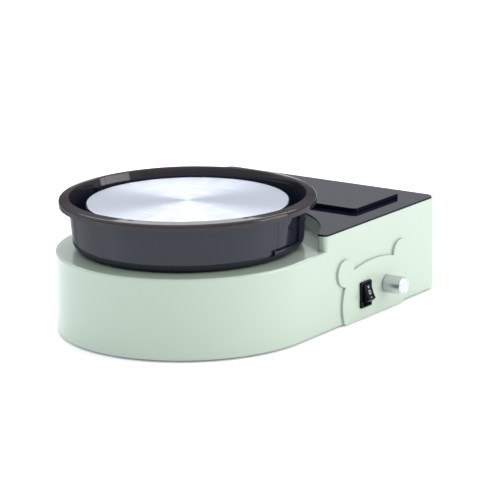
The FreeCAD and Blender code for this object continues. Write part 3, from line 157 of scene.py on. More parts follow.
def worked_metal(name, colour, roughness, line_mm, line_depth_mm, axis, centre, anisotropy=0.0, spread=0.05,
                 unevenness=0.2):
    """Metal with a lathe's lines: rings round an upright axis ("Z"), or rings along a level one ("X").
    An axis of None gives the even, slightly mottled face of plate, castings and plated screws."""
    material, tree, place = new_material(name)
    moved = add(tree, "ShaderNodeMapping", {"Vector": place, "Location": (-centre.x, -centre.y, -centre.z)})
    if axis is None:
        lines = add(tree, "ShaderNodeTexNoise", {"Vector": moved, "Scale": 1 / (line_mm * MM),
                                                 "Detail": 4.0, "Roughness": 0.65})
    else:
        parts = add(tree, "ShaderNodeSeparateXYZ", {"Vector": moved})
        if axis == "Z":
            flat = add(tree, "ShaderNodeCombineXYZ", {"X": parts.outputs["X"], "Y": parts.outputs["Y"]})
            reach = add(tree, "ShaderNodeVectorMath", {0: flat}, operation="LENGTH")
            along = reach.outputs["Value"]
            ray = add(tree, "ShaderNodeVectorMath", {0: flat}, operation="NORMALIZE")
            rays = add(tree, "ShaderNodeTexNoise", {"Vector": ray, "Scale": 5.0, "Detail": 4.0,
                                                    "Roughness": 0.7})
        else:
            along = parts.outputs["X"]
        scaled = add(tree, "ShaderNodeMath", {0: along, 1: 1 / (line_mm * MM)}, operation="MULTIPLY")
        lines = add(tree, "ShaderNodeTexNoise", {"W": scaled, "Scale": 1.0, "Detail": 3.0,
                                                 "Roughness": 0.7}, noise_dimensions="1D")
    tint = add(tree, "ShaderNodeMix", {"Factor": lines, MIX_FROM: shade(colour, 1 - spread),
                                       MIX_TO: shade(colour, 1 + spread)}, data_type="RGBA")
    # round an upright axis the tool's chatter also leaves faint rays from the middle
    wear = rays if axis == "Z" else lines
    gloss = add(tree, "ShaderNodeMapRange", {"Value": wear, "From Min": 0.2, "From Max": 0.8,
                                             "To Min": roughness * (1 - unevenness),
                                             "To Max": roughness * (1 + unevenness)})
    bump = add(tree, "ShaderNodeBump", {"Height": lines, "Distance": line_depth_mm * MM,
                                        "Strength": 1.0})
    inputs = {"Base Color": tint.outputs[MIX_RESULT], "Metallic": 1.0, "Roughness": gloss,
              "Normal": bump, "Anisotropic": anisotropy}
    if anisotropy:
        inputs["Anisotropic Rotation"] = 0.25        # the light fans out across the rings, not along them
        inputs["Tangent"] = add(tree, "ShaderNodeTangent", direction_type="RADIAL", axis=axis)
    shader = add(tree, "ShaderNodeBsdfPrincipled", inputs)
    return finish_material(material, tree, shader)


def smoked_pan(name, colour, lip_glow_colour, lip_z):
    """Smoke-tinted ABS, moulded and polished: almost black in bulk, with a browner colour painted in towards the rolled
    lip as painted glow, standing in for light that passes through the thin lip.
    """
    material, tree, place = new_material(name)
    height = add(tree, "ShaderNodeSeparateXYZ", {"Vector": place}).outputs["Z"]
    # painted glow: the lip colour is blended in over the top 9 mm under the lip, in place of light shining through the
    # thin plastic
    lip_glow_mask = add(tree, "ShaderNodeMapRange", {"Value": height, "From Min": lip_z - 9 * MM, "From Max": lip_z,
                                            "To Min": 0.0, "To Max": 1.0}, interpolation_type="SMOOTHSTEP")
    tint = add(tree, "ShaderNodeMix", {"Factor": lip_glow_mask, MIX_FROM: shade(colour, 1), MIX_TO: shade(lip_glow_colour, 1)},
               data_type="RGBA")
    ripple = add(tree, "ShaderNodeTexNoise", {"Vector": place, "Scale": 1 / (18 * MM), "Detail": 1.0})
    bump = add(tree, "ShaderNodeBump", {"Height": ripple, "Distance": 0.05 * MM, "Strength": 1.0})
    haze = add(tree, "ShaderNodeTexNoise", {"Vector": place, "Scale": 1 / (3 * MM), "Detail": 4.0})
    gloss = add(tree, "ShaderNodeMapRange", {"Value": haze, "To Min": 0.05, "To Max": 0.08})
    # where the wall turns away from the eye the tinted plastic passes light on rather than mirroring it
    facing = add(tree, "ShaderNodeLayerWeight", {"Blend": 0.5})
    mirror = add(tree, "ShaderNodeMapRange", {"Value": facing.outputs["Facing"], "From Min": 0.3, "From Max": 0.75,
                                              "To Min": 1.45, "To Max": 1.05})
    shader = add(tree, "ShaderNodeBsdfPrincipled", {
        "Base Color": tint.outputs[MIX_RESULT], "Roughness": gloss, "IOR": mirror,
        "Normal": bump})
    return finish_material(material, tree, shader)


def laminate(name, board, copper, pitch_mm):
    """Glass-epoxy board under green solder mask, with the raised copper of its tracks in squares of one pitch."""
    material, tree, place = new_material(name)
    tracks = add(tree, "ShaderNodeTexBrick", {"Vector": place, "Color1": shade(board, 1), "Color2": shade(board, 1.2),
                                              "Mortar": shade(copper, 1), "Scale": 1 / (pitch_mm * MM),
                                              "Mortar Size": 0.04, "Brick Width": 2.0, "Row Height": 1.0})
    bump = add(tree, "ShaderNodeBump", {"Height": tracks.outputs["Fac"], "Distance": 0.035 * MM})
    shader = add(tree, "ShaderNodeBsdfPrincipled", {"Base Color": tracks, "Roughness": 0.35,
                                                    "IOR": 1.5, "Normal": bump})
    return finish_material(material, tree, shader)


def make_finishes(look):
    """One finish for each material slot of the record."""
    return {
        # pale mint ABS, spark-eroded mould: soft sheen, no sharp reflections
        "mint_abs": moulded("mint_abs_shell", look.shell_colour, 0.3, look.shell_grain / MM, 0.0008, 0.012,
                            coat=0.6, coat_roughness=0.05),
        # the deck's black ABS is polished in the mould, so it mirrors the room at a low angle
        "black_gloss": moulded("polished_black_abs", look.deck_colour, 0.08, 12.0, 0.004, ior=1.22),
        # smoke ABS of the pan, with a painted glow towards its lip
        "smoke_pan": smoked_pan("smoked_abs_pan", look.pan_colour, look.lip_glow_colour, PAN_HIGH.z - 2 * MM),
        # nylon of the switch and the inlet, with a fine matt mould grain
        "black_plastic": moulded("black_nylon", look.switch_colour, 0.3, 0.5, 0.002, ior=1.2),
        # faced on a lathe: fine rings that spread a highlight into two fans. Real feed lines are 0.1 mm
        # apart; these are drawn at 0.8 mm so that they show
        "turned_aluminium": worked_metal("faced_aluminium", look.head_colour, 0.24, 0.8, 0.0005, "Z", AXIS, 0.88,
                                         0.012, 0.18),
        "cast_aluminium": worked_metal("sand_cast_aluminium", linear("#A9ADB2"), 0.45, 1.5, 0.02, None, AXIS),
        # clear-anodised bar, turned round a level axis, so its lines run round the knob
        "knob_aluminium": worked_metal("anodised_aluminium_knob", look.knob_colour, 0.22, 0.5, 0.0006, "X",
                                       KNOB_MIDDLE, 0.85, 0.02, 0.1),
        "zinc_steel": worked_metal("bright_zinc_steel", linear("#C3C6C8"), 0.3, 2.0, 0.01, None, AXIS),
        "bearing_steel": worked_metal("ground_bearing_steel", linear("#CFD1D3"), 0.12, 0.4, 0.001, "Z", AXIS),
        # nitrile rubber of the feet, and the fabric-backed belt
        "rubber": moulded("nitrile_rubber", linear("#1B1C1D"), 0.75, 0.8, 0.02),
        "belt_rubber": moulded("fabric_backed_belt", linear("#242322"), 0.65, 1.2, 0.03),
        # sintered ferrite is matt and faintly brown
        "magnet": moulded("ferrite_magnet", linear("#3A3634"), 0.6, 0.6, 0.01),
        "circuit_board": laminate("solder_masked_board", linear("#1E5B3A"), linear("#2C7A4E"), 2.54),
        "component_black": moulded("epoxy_component", linear("#17181A"), 0.4, 0.7, 0.006),
        "brass": worked_metal("brass_terminal", linear("#C9A65A"), 0.28, 1.0, 0.003, None, AXIS),
        # soft PVC of the leads
        "wire_red": moulded("red_pvc_lead", linear("#A8241F"), 0.45, 1.5, 0.004),
    }


# ---------------------------------------------------------------- pieces
def new_piece(name, mesh, finish=None):
    piece = bpy.data.objects.new(name, mesh)
    bpy.context.scene.collection.objects.link(piece)
    if finish:
        mesh.materials.append(finish)
    return piece


def mesh_from(bm, name):
    mesh = bpy.data.meshes.new(name)
    bm.to_mesh(mesh)
    bm.free()
    return mesh


def cad_copy(node, name, finish):
    """A copy of a CAD node's mesh with its loose triangles joined up and its flat faces made whole."""
    bm = bmesh.new()
    bm.from_mesh(frame["nodes"][node].data)
    bmesh.ops.remove_doubles(bm, verts=bm.verts, dist=2e-6)
    bmesh.ops.dissolve_degenerate(bm, edges=bm.edges, dist=2e-6)
    bmesh.ops.dissolve_limit(bm, angle_limit=math.radians(0.5), verts=bm.verts, edges=bm.edges)
    mesh = mesh_from(bm, name)
    mesh.materials.clear()
    return new_piece(name, mesh, finish)


def lathe(name, profile, finish, segments, turn=None):
    """A closed shape turned about the upright axis through the origin, then set in place by a matrix."""
    bm = bmesh.new()
    rings = []
    for radius, height in profile:
        if radius == 0:
            rings.append([bm.verts.new((0, 0, height))])
            continue
        angles = [2 * math.pi * i / segments for i in range(segments)]
        rings.append([bm.verts.new((radius * math.cos(a), radius * math.sin(a), height)) for a in angles])
    for one, two in zip(rings, rings[1:] + rings[:1]):
        for i in range(segments):
            corners = []
            for vert in (one[i % len(one)], one[(i + 1) % len(one)], two[(i + 1) % len(two)], two[i % len(two)]):
                if vert not in corners:
                    corners.append(vert)
            if len(corners) > 2:
                bm.faces.new(corners)
    if turn:
        bmesh.ops.transform(bm, matrix=turn, verts=bm.verts)
    bmesh.ops.recalc_face_normals(bm, faces=bm.faces)
    return new_piece(name, mesh_from(bm, name), finish)


def soften(piece, radius, angle=40.0, segments=2):
    """Rounds the sharp edges a little, as a mould or a deburring tool leaves them."""
    bevel = piece.modifiers.new("edge radius", "BEVEL")
    bevel.width = radius
    bevel.segments = segments
    bevel.limit_method = "ANGLE"
    bevel.angle_limit = math.radians(angle)
    bevel.use_clamp_overlap = True
    bevel.miter_outer = "MITER_ARC"
    return piece


def smooth(piece, angle=35.0):
    """Smooth shading, with the flat faces kept flat up to their edges."""
    piece.data.shade_smooth()
    bake(piece)
    piece.data.set_sharp_from_angle(angle=math.radians(angle))
    weigh = piece.modifiers.new("flat faces", "WEIGHTED_NORMAL")
    weigh.keep_sharp = True
    weigh.weight = 80
    bake(piece)


def bake(piece):
    """Turns what the modifiers make into the piece's plain mesh, and removes them."""
    bpy.context.view_layer.update()
    depsgraph = bpy.context.evaluated_depsgraph_get()
    mesh = bpy.data.meshes.new_from_object(piece.evaluated_get(depsgraph), depsgraph=depsgraph)
    mesh.name = piece.name
    piece.modifiers.clear()
    piece.data = mesh


def place_on(piece, body, slot, *nodes):
    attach(piece, body)
    if nodes:
        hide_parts(*nodes)
    return piece


def refined(node, name, body, slot, radius):
    """A CAD node's shape with rounded edges and smooth shading, in its own finish."""
    piece = cad_copy(node, name, FINISHES[slot])
    soften(piece, radius)
    smooth(piece)
    return place_on(piece, body, slot, node)


FINISHES = {}


# ---------------------------------------------------------------- geometry node trees for what repeats
MATH = "ShaderNodeMath"
VECTOR = "ShaderNodeCombineXYZ"
TRANSFORM = "GeometryNodeTransform"
BOOLEAN = "GeometryNodeMeshBoolean"
CYLINDER = "GeometryNodeMeshCylinder"
INSTANCES = "GeometryNodeInstanceOnPoints"


def new_tree(name, sizes):
    """A geometry node tree with one point mesh in, its sizes as named inputs, and a finish."""
    tree = bpy.data.node_groups.new(name, "GeometryNodeTree")
    tree.interface.new_socket("Geometry", in_out="INPUT", socket_type="NodeSocketGeometry")
    for label, value in sizes.items():
        kind = {int: "NodeSocketInt", float: "NodeSocketFloat"}.get(type(value), "NodeSocketVector")
        socket = tree.interface.new_socket(label, in_out="INPUT", socket_type=kind)
        socket.default_value = value
    tree.interface.new_socket("Finish", in_out="INPUT", socket_type="NodeSocketMaterial")
    tree.interface.new_socket("Geometry", in_out="OUTPUT", socket_type="NodeSocketGeometry")
    return tree, add(tree, "NodeGroupInput").outputs


def end_tree(tree, instances, finish, smooth_faces):
    real = add(tree, "GeometryNodeRealizeInstances", {"Geometry": instances})
    shaded = add(tree, "GeometryNodeSetShadeSmooth", {"Geometry": real,
                                                      "Shade Smooth": smooth_faces})
    dressed = add(tree, "GeometryNodeSetMaterial", {"Geometry": shaded, "Material": finish})
    add(tree, "NodeGroupOutput", {"Geometry": dressed})
    return tree


def screw_tree():
    """Slotted screws: one with its seat at the origin, stood on every point."""
    tree, given = new_tree("Slotted screws", {
        "Head radius": 2.9 * MM, "Seat radius": 2.9 * MM, "Head height": 2.0 * MM, "Shank radius": 1.5 * MM,
        "Length": 9.0 * MM, "Slot width": 0.8 * MM, "Slot depth": 0.8 * MM, "Turn": Vector((0, 0, 0))})
    head = add(tree, "GeometryNodeMeshCone", {"Vertices": 40, "Radius Top": given["Head radius"],
                                              "Radius Bottom": given["Seat radius"], "Depth": given["Head height"]})
    bar_length = add(tree, MATH, {0: given["Head radius"], 1: 1.4}, operation="MULTIPLY")
    bar_height = add(tree, MATH, {0: given["Slot depth"], 1: 2.0}, operation="MULTIPLY")
    bar = add(tree, "GeometryNodeMeshCube", {
        "Size": add(tree, VECTOR, {"X": bar_length, "Y": given["Slot width"], "Z": bar_height})})
    slot = add(tree, TRANSFORM, {"Geometry": bar, "Translation": add(tree, VECTOR, {"Z": given["Head height"]})})
    cut = add(tree, BOOLEAN, {0: head, 1: slot}, operation="DIFFERENCE")
    root = add(tree, MATH, {0: given["Head height"], 1: 0.3}, operation="MULTIPLY")    # the shank reaches into the head
    depth = add(tree, MATH, {0: given["Length"], 1: root}, operation="ADD")
    shank = add(tree, CYLINDER, {"Vertices": 24, "Radius": given["Shank radius"], "Depth": depth})
    twice = add(tree, MATH, {0: root, 1: given["Length"]}, operation="SUBTRACT")
    drop = add(tree, MATH, {0: twice, 1: 0.5}, operation="MULTIPLY")
    down = add(tree, TRANSFORM, {"Geometry": shank, "Translation": add(tree, VECTOR, {"Z": drop})})
    whole = add(tree, BOOLEAN, {1: [cut, down]}, operation="UNION")
    stand = add(tree, INSTANCES, {"Points": given["Geometry"], "Instance": whole, "Rotation": given["Turn"]})
    return end_tree(tree, stand, given["Finish"], False)


def pillar_tree():
    """Hexagonal pillars with a threaded bore, stood on every point."""
    tree, given = new_tree("Hexagonal pillars", {"Corner radius": 5.0 * MM, "Bore radius": 1.6 * MM,
                                                 "Height": 20.0 * MM})
    prism = add(tree, CYLINDER, {"Vertices": 6, "Radius": given["Corner radius"], "Depth": given["Height"]})
    through = add(tree, MATH, {0: given["Height"], 1: 1.2}, operation="MULTIPLY")
    bore = add(tree, CYLINDER, {"Vertices": 24, "Radius": given["Bore radius"], "Depth": through})
    cut = add(tree, BOOLEAN, {0: prism, 1: bore}, operation="DIFFERENCE")
    half = add(tree, MATH, {0: given["Height"], 1: 0.5}, operation="MULTIPLY")
    raised = add(tree, TRANSFORM, {"Geometry": cut, "Translation": add(tree, VECTOR, {"Z": half})})
    stand = add(tree, INSTANCES, {"Points": given["Geometry"], "Instance": raised})
    return end_tree(tree, stand, given["Finish"], False)


def foot_tree():
    """Round rubber feet with a chamfer at the table and a dimple in the middle, stood on every point."""
    tree, given = new_tree("Rubber feet", {"Radius": 8.0 * MM, "Height": 2.4 * MM, "Chamfer": 0.8 * MM,
                                           "Dimple radius": 2.0 * MM})
    wall_height = add(tree, MATH, {0: given["Height"], 1: given["Chamfer"]}, operation="SUBTRACT")
    wall = add(tree, CYLINDER, {"Vertices": 64, "Radius": given["Radius"], "Depth": wall_height})
    ends = add(tree, MATH, {0: given["Height"], 1: given["Chamfer"]}, operation="ADD")
    wall_middle = add(tree, MATH, {0: ends, 1: 0.5}, operation="MULTIPLY")
    wall_up = add(tree, TRANSFORM, {"Geometry": wall, "Translation": add(tree, VECTOR, {"Z": wall_middle})})
    toe_radius = add(tree, MATH, {0: given["Radius"], 1: given["Chamfer"]}, operation="SUBTRACT")
    toe = add(tree, "GeometryNodeMeshCone", {"Vertices": 64, "Radius Top": given["Radius"],
                                             "Radius Bottom": toe_radius, "Depth": given["Chamfer"]})
    joined = add(tree, BOOLEAN, {1: [wall_up, toe]}, operation="UNION")
    dimple = add(tree, CYLINDER, {"Vertices": 32, "Radius": given["Dimple radius"], "Depth": given["Chamfer"]})
    cut = add(tree, BOOLEAN, {0: joined, 1: dimple}, operation="DIFFERENCE")
    stand = add(tree, INSTANCES, {"Points": given["Geometry"], "Instance": cut})
    return end_tree(tree, stand, given["Finish"], False)


def ball_tree():
    """Rings of bearing balls: one ring round each point."""
    tree, given = new_tree("Bearing balls", {"Ball radius": 2.35 * MM, "Pitch radius": 10.0 * MM, "Count": 8})
    circle = add(tree, "GeometryNodeMeshCircle", {"Vertices": given["Count"], "Radius": given["Pitch radius"]})
    ball = add(tree, "GeometryNodeMeshIcoSphere", {"Radius": given["Ball radius"], "Subdivisions": 3})
    one_ring = add(tree, INSTANCES, {"Points": circle, "Instance": ball})
    rings = add(tree, INSTANCES, {"Points": given["Geometry"], "Instance": one_ring})
    return end_tree(tree, rings, given["Finish"], True)


def fin_tree():
    """An extruded heat sink: a block with slots between its upright fins, stood on every point."""
    tree, given = new_tree("Heat sink fins", {"Length": 14.0 * MM, "Width": 16.0 * MM, "Height": 11.0 * MM,
                                              "Base thick": 3.0 * MM, "Fin thick": 1.6 * MM, "Slot count": 4})
    block = add(tree, "GeometryNodeMeshCube", {
        "Size": add(tree, VECTOR, {"X": given["Width"], "Y": given["Length"], "Z": given["Height"]})})
    room = add(tree, MATH, {0: given["Width"], 1: given["Fin thick"]}, operation="SUBTRACT")
    pitch = add(tree, MATH, {0: room, 1: given["Slot count"]}, operation="DIVIDE")
    gap = add(tree, MATH, {0: pitch, 1: given["Fin thick"]}, operation="SUBTRACT")
    through = add(tree, MATH, {0: given["Length"], 1: 1.2}, operation="MULTIPLY")
    slot = add(tree, "GeometryNodeMeshCube", {
        "Size": add(tree, VECTOR, {"X": gap, "Y": through, "Z": given["Height"]})})
    span = add(tree, MATH, {0: room, 1: pitch}, operation="SUBTRACT")
    first = add(tree, MATH, {0: span, 1: -0.5}, operation="MULTIPLY")
    row = add(tree, "GeometryNodeMeshLine", {
        "Count": given["Slot count"], "Start Location": add(tree, VECTOR, {"X": first, "Z": given["Base thick"]}),
        "Offset": add(tree, VECTOR, {"X": pitch})})
    cutters = add(tree, "GeometryNodeRealizeInstances", {
        "Geometry": add(tree, INSTANCES, {"Points": row, "Instance": slot})})
    cut = add(tree, BOOLEAN, {0: block, 1: cutters}, operation="DIFFERENCE")
    half = add(tree, MATH, {0: given["Height"], 1: 0.5}, operation="MULTIPLY")
    raised = add(tree, TRANSFORM, {"Geometry": cut, "Translation": add(tree, VECTOR, {"Z": half})})
    stand = add(tree, INSTANCES, {"Points": given["Geometry"], "Instance": raised})
    return end_tree(tree, stand, given["Finish"], False)


def repeated(name, tree, points, values, body, slot, *nodes):
    """Runs a tree on a mesh of points and keeps what it makes as one plain piece."""
    mesh = bpy.data.meshes.new(name)
    mesh.from_pydata([tuple(p) for p in points], [], [])
    piece = new_piece(name, mesh)
    modifier = piece.modifiers.new(tree.name, "NODES")
    modifier.node_group = tree
    names = {s.name: s.identifier for s in tree.interface.items_tree
             if s.item_type == "SOCKET" and s.in_out == "INPUT"}
    for label, value in values.items():
        modifier[names[label]] = value
    modifier[names["Finish"]] = FINISHES[slot]
    bake(piece)
    if not piece.data.polygons:
        raise RuntimeError(f"{name} came out empty")
    piece.data.materials.clear()
    piece.data.materials.append(FINISHES[slot])
    piece.data.polygons.foreach_set("material_index", [0] * len(piece.data.polygons))
    return place_on(piece, body, slot, *nodes)


def islands(node):
    """Lowest and highest corners of each separate solid in a CAD node."""
    bm = bmesh.new()
    bm.from_mesh(frame["nodes"][node].data)
    bmesh.ops.remove_doubles(bm, verts=bm.verts, dist=2e-6)
    seen = set()
    found = []
    for start in bm.verts:
        if start in seen:
            continue
        group = []
        queue = [start]
        seen.add(start)
        while queue:
            vert = queue.pop()
            group.append(vert.co.copy())
            for edge in vert.link_edges:
                other = edge.other_vert(vert)
                if other not in seen:
                    seen.add(other)
                    queue.append(other)
        found.append((Vector(map(min, *group)), Vector(map(max, *group))))
    bm.free()
    return sorted(found, key=lambda box: tuple(round(c, 5) for c in (*box[0], *box[1])))


def screws(name, node, body, head_height, up, seat_radius, crown_radius, shank_radius=1.5 * MM,
           slot_width=0.8 * MM):
    """Screws in the places of a CAD node's screws. up says whether a screw's head is on its top end."""
    for turned, tag in ((False, ""), (True, "_under")):
        boxes = [box for box in islands(node) if up(box) != turned]
        if not boxes:
            continue
        seats = [((a.x + b.x) / 2, (a.y + b.y) / 2, a.z + head_height if turned else b.z - head_height)
                 for a, b in boxes]
        low, high = boxes[-1]
        sizes = {"Head radius": crown_radius, "Seat radius": seat_radius, "Head height": head_height,
                 "Shank radius": shank_radius, "Length": high.z - low.z - head_height, "Slot width": slot_width,
                 "Turn": (math.pi, 0, 0) if turned else (0, 0, 0)}
        repeated(name + tag, TREES["screw"], seats, sizes, body, "zinc_steel", node)


TREES = {}


# ---------------------------------------------------------------- settings
class FinishSettings(bpy.types.PropertyGroup):
    shell_colour: FloatVectorProperty(name="Shell", description="Moulded shell and control panel", size=3,
                                      subtype="COLOR", min=0, max=1, default=linear("#ACBBAA"))
    shell_grain: FloatProperty(name="Shell grain", description="Size of the mould's grain", default=0.3 * MM,
                               unit="LENGTH")
    deck_colour: FloatVectorProperty(name="Deck", description="Deck panel and its lid", size=3, subtype="COLOR",
                                     min=0, max=1, default=linear("#0A101F"))
    pan_colour: FloatVectorProperty(name="Pan", description="Splash pan", size=3, subtype="COLOR", min=0, max=1,
                                    default=linear("#1C1F2B"))
    # the lip colour is a painted glow: light passing through the thin rolled lip, blended in by height
    lip_glow_colour: FloatVectorProperty(name="Pan lip", description="Rolled lip, where the pan is thinnest", size=3,
                                    subtype="COLOR", min=0, max=1, default=linear("#282224"))
    head_colour: FloatVectorProperty(name="Wheel head", description="Turned aluminium", size=3, subtype="COLOR",
                                     min=0, max=1, default=linear("#E6EBF7"))
    knob_colour: FloatVectorProperty(name="Knob", description="Anodised knob", size=3, subtype="COLOR", min=0,
                                     max=1, default=linear("#CACCD0"))
    switch_colour: FloatVectorProperty(name="Switch", description="Switch and power inlet", size=3,
                                       subtype="COLOR", min=0, max=1, default=linear("#06090D"))


class ShapeSettings(bpy.types.PropertyGroup):
    edge: FloatProperty(name="Edge radius", description="Rounding of moulded edges", default=0.35 * MM,
                        unit="LENGTH")
    head_radius: FloatProperty(name="Head radius", description="Wheel head",
                               default=(HEAD_HIGH.x - HEAD_LOW.x) / 2, unit="LENGTH")
    head_chamfer: FloatProperty(name="Head chamfer", description="Broken edge of the head", default=0.8 * MM,
                                unit="LENGTH")
    ring_width: FloatProperty(name="Guide ring width", description="Width of the turned guide rings",
                              default=0.7 * MM, unit="LENGTH")
    ring_depth: FloatProperty(name="Guide ring depth", description="Depth of the turned guide rings",
                              default=0.08 * MM, unit="LENGTH")
    segments: IntProperty(name="Facets round", description="Facets round a turned piece", default=256, min=32)
    mark_stroke: FloatProperty(name="Mark stroke", description="Width of the switch marks' strokes",
                               default=0.32 * MM, unit="LENGTH")
    screw_head: FloatProperty(name="Screw head", description="Radius of the machine screws' heads",
                              default=2.9 * MM, unit="LENGTH")
    ball_radius: FloatProperty(name="Ball radius", description="Bearing balls", default=2.35 * MM, unit="LENGTH")
    fin_count: IntProperty(name="Heat sink fins", description="Fins on the heat sink", default=5, min=2)


class StageSettings(bpy.types.PropertyGroup):
    floor_colour: FloatVectorProperty(name="Floor", description="Floor under the wheel", size=3, subtype="COLOR",
                                      min=0, max=1, default=linear("#F6F7F8"))
    floor_size: FloatProperty(name="Floor size", description="Side of the floor", default=30.0, unit="LENGTH")
    floor_glow: FloatProperty(name="Floor glow", description="Light of the lit sweep itself", default=0.16)
    key_power: FloatProperty(name="Key light", description="Large soft light at the right", default=21.0,
                             unit="POWER")
    top_power: FloatProperty(name="Top light", description="Soft strip light over the rear", default=16.0, unit="POWER")
    fill_power: FloatProperty(name="Fill light", description="Cool soft light at the left", default=1.8,
                              unit="POWER")
    room: FloatProperty(name="Room light", description="Strength of the white room", default=0.6)
    lens: FloatProperty(name="Lens", description="Focal length in millimetres on a 36 mm sensor", default=214.88)


# ---------------------------------------------------------------- operators
class PieceOperator:
    bl_options = {"REGISTER", "UNDO"}

    def execute(self, context):
        if not FINISHES:
            FINISHES.update(make_finishes(context.scene.wheel_finish))
        if not TREES:
            TREES.update(screw=screw_tree(), pillar=pillar_tree(), foot=foot_tree(), ball=ball_tree(),
                         fin=fin_tree())
        self.build(context.scene.wheel_shape)
        return {"FINISHED"}


class POTTERY_OT_finish_cad(PieceOperator, bpy.types.Operator):
    """Gives every CAD node the finish of its material slot"""
    bl_idname = "pottery.finish_cad"
    bl_label = "Finish the CAD nodes"

    def build(self, shape):
        for part in frame["record"]["subparts"]:
            node = frame["nodes"][part["node"]]
            if not node.material_slots:
                node.data.materials.append(None)
            for slot in node.material_slots:
                slot.material = FINISHES[part["material_slot"]]


class POTTERY_OT_body(PieceOperator, bpy.types.Operator):
    """Builds the moulded shell, the base plate and the tray"""
    bl_idname = "pottery.body"
    bl_label = "Body shell"

    def build(self, shape):
        refined("body_shell", "moulded_shell", "body", "mint_abs", shape.edge)
        refined("tool_tray", "tool_tray_moulding", "body", "black_plastic", shape.edge)
        refined("base_plate", "pressed_base_plate", "body", "black_plastic", 0.2 * MM)


class POTTERY_OT_deck(PieceOperator, bpy.types.Operator):
    """Builds the polished deck and its lift-off lid"""
    bl_idname = "pottery.deck"
    bl_label = "Deck and lid"

    def build(self, shape):
        refined("deck_panel", "polished_deck", "body", "black_gloss", 0.2 * MM)
        refined("tray_lid", "polished_lid", "lid", "black_gloss", 0.2 * MM)


class POTTERY_OT_pan(PieceOperator, bpy.types.Operator):
    """Builds the two halves of the splash pan"""
    bl_idname = "pottery.pan"
    bl_label = "Splash pan"

    def build(self, shape):
        refined("pan_front", "splash_pan_front", "pan_front_half", "smoke_pan", shape.edge)
        refined("pan_rear", "splash_pan_rear", "pan_rear_half", "smoke_pan", shape.edge)


class POTTERY_OT_head(PieceOperator, bpy.types.Operator):
    """Turns the wheel head with its guide rings"""
    bl_idname = "pottery.head"
    bl_label = "Wheel head"

    def build(self, shape):
        top, low = HEAD_HIGH.z, HEAD_LOW.z
        rim, chamfer = shape.head_radius, shape.head_chamfer
        half, depth = shape.ring_width / 2, shape.ring_depth
        profile = [(0, top)]
        for radius in GUIDE_RINGS:
            profile += [(radius - half, top), (radius, top - depth), (radius + half, top)]
        profile += [(rim - chamfer * 1.3, top), (rim - chamfer * 0.9, top - chamfer * 0.08),
                    (rim - chamfer * 0.12, top - chamfer * 0.8), (rim, top - chamfer * 1.2),
                    (rim, low + chamfer * 1.2), (rim - chamfer, low), (0, low)]
        piece = lathe("turned_wheel_head", profile, FINISHES["turned_aluminium"], shape.segments,
                      Matrix.Translation(AXIS))
        smooth(piece, 20)
        place_on(piece, "wheel", "turned_aluminium", "wheel_head")


class POTTERY_OT_panel(PieceOperator, bpy.types.Operator):
    """Builds the control panel's plate"""
    bl_idname = "pottery.panel"
    bl_label = "Control panel"

    def build(self, shape):
        refined("control_panel", "control_panel_plate", "body", "mint_abs", 0.4 * MM)


def dish(height):
    """How far the rocker's hollow face stands in front of the pivot at a height from its middle."""
    return DISH_DEPTH + DISH_RADIUS - math.sqrt(DISH_RADIUS ** 2 - height ** 2)


class POTTERY_OT_switch(PieceOperator, bpy.types.Operator):
    """Builds the rocker switch and its printed marks: two strokes, a circle and one stroke"""
    bl_idname = "pottery.switch"
    bl_label = "Rocker switch"

    def build(self, shape):
        refined("switch_housing", "switch_bezel", "body", "black_plastic", 0.25 * MM)
        refined("switch_rocker", "switch_rocker_cap", "rocker", "black_plastic", 0.35 * MM)
        stroke = shape.mark_stroke
        bm = bmesh.new()
        for height in MARK_HEIGHTS:
            self.mark(bm, [[(side * MARK_HALF_WIDTH, height + z) for side in (-1, 1)]
                           for z in (-stroke / 2, stroke / 2)])
        rows = []
        for i in range(RING_FACETS + 1):
            angle = 2 * math.pi * i / RING_FACETS
            ends = []
            for reach in (RING_RADIUS, RING_RADIUS + stroke):
                ends.append((reach * math.cos(angle), RING_STRETCH * reach * math.sin(angle) + RING_MIDDLE))
            rows.append(ends)
        self.mark(bm, rows)
        bmesh.ops.remove_doubles(bm, verts=bm.verts, dist=1e-7)
        walls = bmesh.ops.extrude_face_region(bm, geom=bm.faces[:])
        raised = [v for v in walls["geom"] if isinstance(v, bmesh.types.BMVert)]
        bmesh.ops.translate(bm, vec=(INK_THICK, 0, 0), verts=raised)
        turn = Matrix.Translation(ROCKER_PIVOT) @ Matrix.Rotation(ROCKER_TILT, 4, "Y")
        bmesh.ops.transform(bm, matrix=turn, verts=bm.verts)
        bmesh.ops.recalc_face_normals(bm, faces=bm.faces)
        # pad-printed ink: thin, matt, faintly uneven
        ink = moulded("white_marking_ink", linear("#DDE0E2"), 0.5, 0.6, 0.003)
        piece = new_piece("switch_marks", mesh_from(bm, "switch_marks"), ink)
        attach(piece, "rocker")

    def mark(self, bm, rows):
        """A strip between two ends in every row, each end an across and a height on the hollow face."""
        lines = [[bm.verts.new((dish(z) - INK_SUNK, y, z)) for y, z in row] for row in rows]
        for one, two in zip(lines, lines[1:]):
            bm.faces.new((one[0], one[1], two[1], two[0]))


